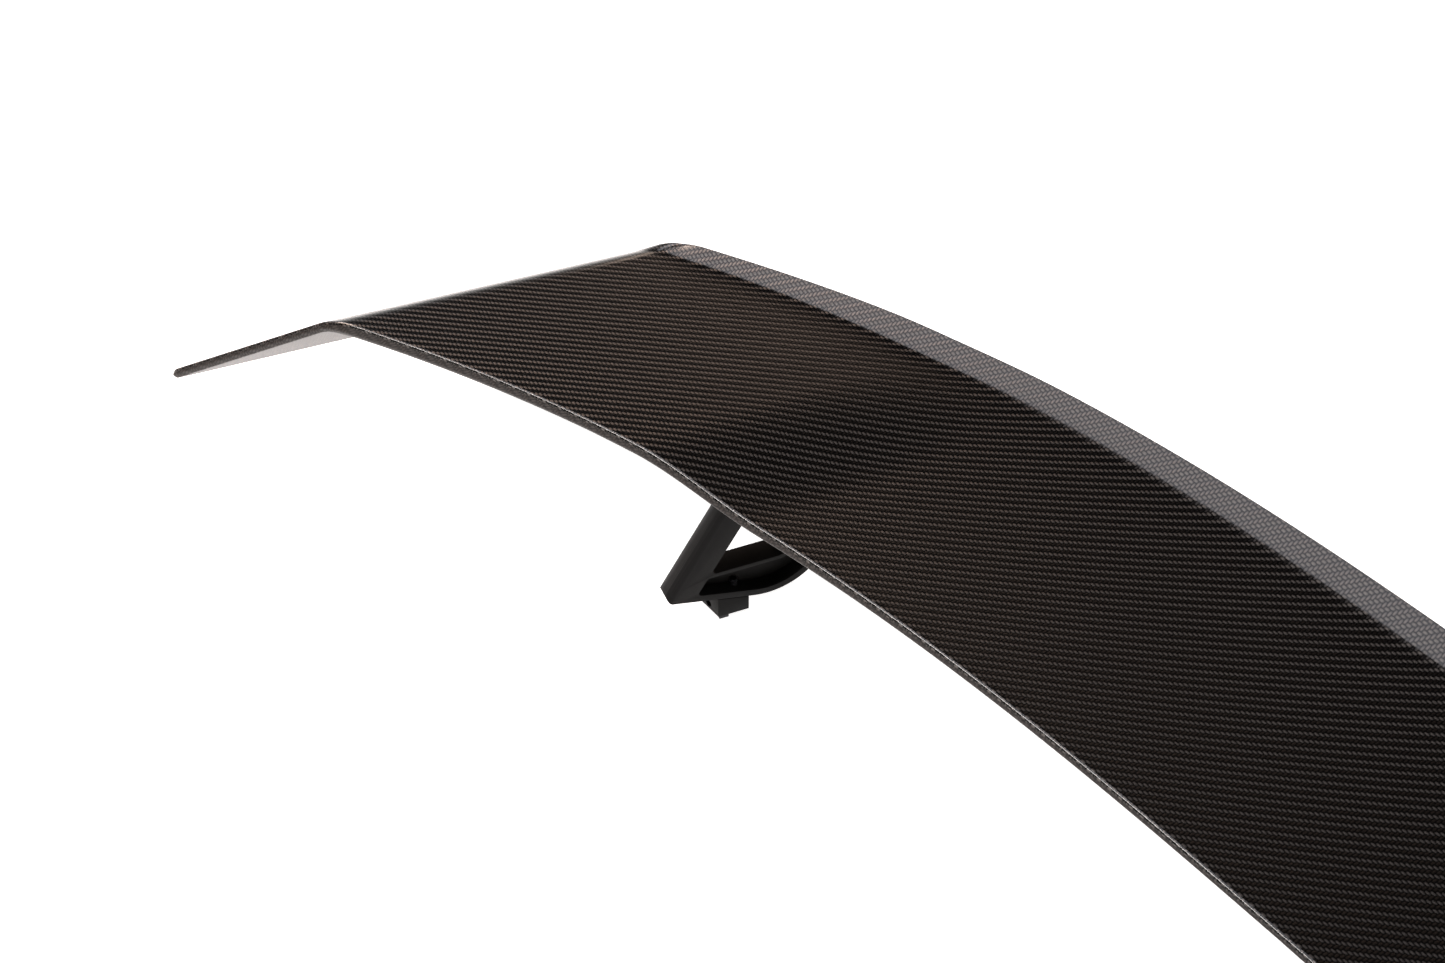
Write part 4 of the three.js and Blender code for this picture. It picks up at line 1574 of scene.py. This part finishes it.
@dataclass
class Foot:
    """The block under a strut with its screw, grub screw and locating peg."""

    plane: StrutFrame
    sole: Line
    finishes: Finishes
    start: float = 28.5
    length: float = 22.5
    width: float = 22.0
    offset: float = -2.0
    screw_run: float = 43.0
    screw_end: float = 24.0
    peg_runs: Pair = (29.5, 36.5)
    peg_sides: Pair = (1.7, 8.2)
    peg_proud: float = 3.0
    peg_end: float = 8.0
    grub_height: float = 5.0
    grub_hole: float = 3.0
    grub_radius: float = 2.6
    grub_length: float = 5.0
    grub_inset: float = 2.5
    grub_chamfer: float = 0.5
    grub_point: float = 0.8
    grub_socket: float = 2.5
    gap: float = 0.3
    # The block is cut from a blank by a roof that hangs over it all round.
    blank_height: float = 60.0
    roof_height: float = 90.0
    overhang: float = 9.0

    def block(self) -> bpy.types.Object:
        """The block: its top follows the strut's sole and its front face is square across the car.

        Returns:
            The left block.
        """
        half = self.width / 2
        slant = self.width * math.tan(self.plane.toe)
        stop = self.start + self.length
        begin = self.start - slant
        under = self.sole.beside(-self.gap)
        low, high = self.offset - half, self.offset + half
        plan = [(begin, low), (self.start, high), (stop, high), (stop, low)]
        body = prism("milled_foot_left", plan, 0.0, self.blank_height, self.plane.place_flat)
        fore, aft = begin - self.overhang, stop + self.overhang
        eaves = [(run, under.meet(Line(Vector((run, 0.0)), math.pi / 2)).y) for run in (fore, aft)]
        roof = [*eaves, (aft, self.roof_height), (fore, self.roof_height)]
        above = prism("roof", roof, low - self.overhang, high + self.overhang, self.plane.place)
        combine(body, [above], Cut.REMOVE)
        soften(body, 0.6, 3)
        screw = CapScrew()
        shank = rod(screw.radius + self.gap, -1, 40)
        head = rod(screw.head_radius + self.gap, -1, screw.head_height + 2 * self.gap)
        holes = [
            self.plane.set_upright(shank, self.screw_run, 0, 0),
            self.plane.set_upright(head, self.screw_run, 0, 0),
            self.peg_block(self.gap),
            self.grub_rod(rod(self.grub_hole, -3, self.grub_inset + self.grub_length + 0.6)),
        ]
        combine(body, holes, Cut.REMOVE)
        shade(body.data, 30)
        return body

    def grub_rod(self, piece: bpy.types.Object) -> bpy.types.Object:
        """Lays a turned solid along the grub screw's axis, square to the front face.

        Args:
            piece: the solid, turned about the upright axis.

        Returns:
            The same solid.
        """
        middle = self.start - self.width / 2 * math.tan(self.plane.toe)
        tilt = Matrix.Rotation(math.radians(-90), 4, "X")
        place = Matrix.Translation(self.plane.place(middle, self.grub_height, self.offset) * MM)
        piece.data.transform(place @ tilt)
        return piece

    def grub_screw(self) -> bpy.types.Object:
        """The set screw, with its hexagon socket facing forward.

        Returns:
            The left set screw.
        """
        low, high = self.grub_inset, self.grub_inset + self.grub_length
        radius = self.grub_radius
        profile = [
            (0.0, low),
            (radius - self.grub_chamfer, low),
            (radius, low + self.grub_chamfer),
            (radius, high - self.grub_point),
            (radius - self.grub_point, high),
            (0.0, high),
        ]
        screw = lathe("socket_grub_left", profile, 48, lambda r, _: r)
        combine(screw, [hexagon_key(radius / 2, low - 1, low + self.grub_socket)], Cut.REMOVE)
        shade(screw.data, 30)
        return self.grub_rod(screw)

    def peg_block(self, margin: float) -> bpy.types.Object:
        """The square locating peg, grown by a margin all round.

        Args:
            margin: how far every side is moved out.

        Returns:
            The left peg.
        """
        fore, aft = self.peg_runs[0] - margin, self.peg_runs[1] + margin
        outer, inner = self.peg_sides[0] - margin, self.peg_sides[1] + margin
        plan = [(fore, outer), (aft, outer), (aft, inner), (fore, inner)]
        return prism("ground_peg_left", plan, -self.peg_proud - margin, self.peg_end + margin,
                     self.plane.place_flat)

    def build(self) -> None:
        """Makes both feet with their fasteners."""
        both_sides(self.block(), "foot_block", Slot.SATIN_BLACK, self.finishes)
        screw = CapScrew()
        seat = screw.head_height + self.gap
        piece = screw.piece("foot_cap_screw_left", self.screw_end - seat)
        self.plane.set_upright(piece, self.screw_run, seat, 0)
        both_sides(piece, "foot_screw", Slot.BLACK_STEEL, self.finishes)
        both_sides(self.grub_screw(), "grub_screw", Slot.BLACK_STEEL, self.finishes)
        both_sides(soften(self.peg_block(0.0), 0.5, 3), "locating_peg", Slot.BLACK_STEEL, self.finishes)


@dataclass
class InnerStructure:
    """The foam cores and tapped plates sealed inside the blade, kept as they are and given their finish."""

    finishes: Finishes
    families: dict[str, Slot] = field(default_factory=lambda: {
        "tip_core": Slot.FOAM, "core": Slot.FOAM, "hardpoint": Slot.ALUMINIUM})

    def build(self) -> None:
        """Dresses the sealed solids."""
        for name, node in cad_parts.items():
            slot = self.slot_of(name)
            if slot is None:
                continue
            node.data.materials.clear()
            node.data.materials.append(self.finishes.of(slot))
            LOG.info("%s dressed as %s", name, slot.value)

    def slot_of(self, name: str) -> Optional[Slot]:
        """The slot of a sealed solid, from the start of its name; none for every other solid."""
        return next((slot for family, slot in self.families.items() if name.startswith(family)), None)


# ---------------------------------------------------------------- studio


@dataclass(frozen=True)
class Softbox:
    """A rectangular soft light that faces a point."""

    name: str
    place: tuple[float, float, float]
    target: tuple[float, float, float]
    size: Pair
    power: float
    colour: str

    def build(self) -> None:
        """Hangs the light."""
        light = bpy.data.lights.new(self.name, "AREA")
        light.shape = "RECTANGLE"
        light.size, light.size_y = self.size
        light.energy = self.power
        light.color = linear(self.colour)[:3]
        lamp = bpy.data.objects.new(self.name, light)
        lamp.location = self.place
        lamp.rotation_euler = (Vector(self.target) - Vector(self.place)).to_track_quat("-Z", "Y").to_euler()
        lamp.visible_camera = False
        bpy.context.scene.collection.objects.link(lamp)


@dataclass
class Studio:
    """Floor, soft lights, surroundings and the camera."""

    shift: Vector
    floor_size: float = 60.0
    camera_place: tuple[float, float, float] = (380.0, -639.3, 1063.0)
    camera_turn: float = 53.40
    camera_tilt: float = 41.79
    camera_roll: float = -0.24
    lens: float = 54.81
    sensor_width: float = 36.0
    softboxes: tuple[Softbox, ...] = (
        Softbox("front_strip", (-1.0, -1.5, 1.7), (-0.3, 0.0, 0.1), (0.9, 0.35), 22.0, "#fdfbfa"),
        Softbox("overhead", (-0.35, -0.45, 1.9), (-0.35, -0.3, 0.0), (3.2, 1.0), 20.0, "#f3f3fb"),
        Softbox("left_wall", (-2.9, -0.1, 1.5), (-0.6, 0.1, 0.1), (1.4, 1.3), 15.0, "#f3f3fb"),
        Softbox("front_left", (-2.1, -0.85, 1.75), (-0.6, 0.0, 0.1), (0.8, 0.8), 36.0, "#ffe6d6"),
        Softbox("rear_left", (-2.2, 1.9, 0.8), (-0.5, 0.0, 0.1), (1.6, 0.8), 8.0, "#ffe4d0"),
    )

    def floor(self) -> None:
        """Lays the floor under the lowest point of the wing."""
        low = min(corner[2] for corner in CAD_BOX)
        half = self.floor_size / 2
        corners = [(-half, -half, low), (half, -half, low), (half, half, low), (-half, half, low)]
        mesh = bpy.data.meshes.new("studio_floor")
        mesh.from_pydata(corners, [], [(0, 1, 2, 3)])
        mesh.materials.append(StudioFloor().make())
        new_object("studio_floor", mesh)

    def surroundings(self) -> None:
        """Pale walls low down, and darkness above them, so that the blade's top face stays dark."""
        world = bpy.data.worlds.new("studio")
        bpy.context.scene.world = world
        world.use_nodes = True
        tree = world.node_tree
        tree.nodes.clear()
        facing = add_node(tree, "ShaderNodeTexCoord").outputs["Generated"]
        height = add_node(tree, "ShaderNodeSeparateXYZ", {0: facing}).outputs["Z"]
        rise = add_node(tree, "ShaderNodeMapRange", {0: height, 1: 0.02, 2: 0.25},
                        interpolation_type="SMOOTHSTEP")
        colour = add_node(tree, "ShaderNodeMix", {0: rise, 6: linear("#f4f1ee"), 7: linear("#2c2b2c")},
                          data_type="RGBA").outputs[2]
        # A dark canopy would show above the horizon, so the camera sees a pale wall there instead.
        seen = add_node(tree, "ShaderNodeLightPath").outputs["Is Camera Ray"]
        shown = add_node(tree, "ShaderNodeMix", {0: seen, 6: colour, 7: linear("#f8f7f6")},
                         data_type="RGBA").outputs[2]
        background = add_node(tree, "ShaderNodeBackground", {"Color": shown, "Strength": 0.9})
        add_node(tree, "ShaderNodeOutputWorld", {"Surface": background})

    def camera(self) -> None:
        """Stands the camera in front of the wing's right half, looking down and to the left."""
        data = bpy.data.cameras.new("camera")
        data.lens = self.lens
        data.sensor_width = self.sensor_width
        data.sensor_fit = "HORIZONTAL"
        camera = bpy.data.objects.new("camera", data)
        turn = Matrix.Rotation(math.radians(self.camera_turn), 4, "Z")
        tilt = Matrix.Rotation(math.radians(90 - self.camera_tilt), 4, "X")
        roll = Matrix.Rotation(math.radians(self.camera_roll), 4, "Z")
        place = Matrix.Translation((Vector(self.camera_place) + self.shift) * MM)
        camera.matrix_world = place @ turn @ tilt @ roll
        bpy.context.scene.collection.objects.link(camera)
        bpy.context.scene.camera = camera

    def build(self) -> None:
        """Sets the studio up."""
        self.camera()
        self.floor()
        self.surroundings()
        for softbox in self.softboxes:
            softbox.build()
        bpy.context.scene.view_settings.view_transform = "Standard"
        LOG.info("studio: floor, surroundings, %d softboxes and camera", len(self.softboxes))


def main() -> None:
    """Builds the wing and its studio, piece by piece."""
    logging.basicConfig(level=logging.INFO, format="%(name)s: %(message)s")
    form = BladeForm()
    shift = Shift(form).vector()
    Studio(shift).build()
    finishes = Finishes()
    blade = Blade(form, shift, finishes)
    blade.build()
    plane = StrutFrame(shift)
    strut = Strut(blade, plane, finishes)
    strut.build()
    Foot(plane, strut.outline.sole, finishes).build()
    InnerStructure(finishes).build()


if __name__ == "__main__":
    main()
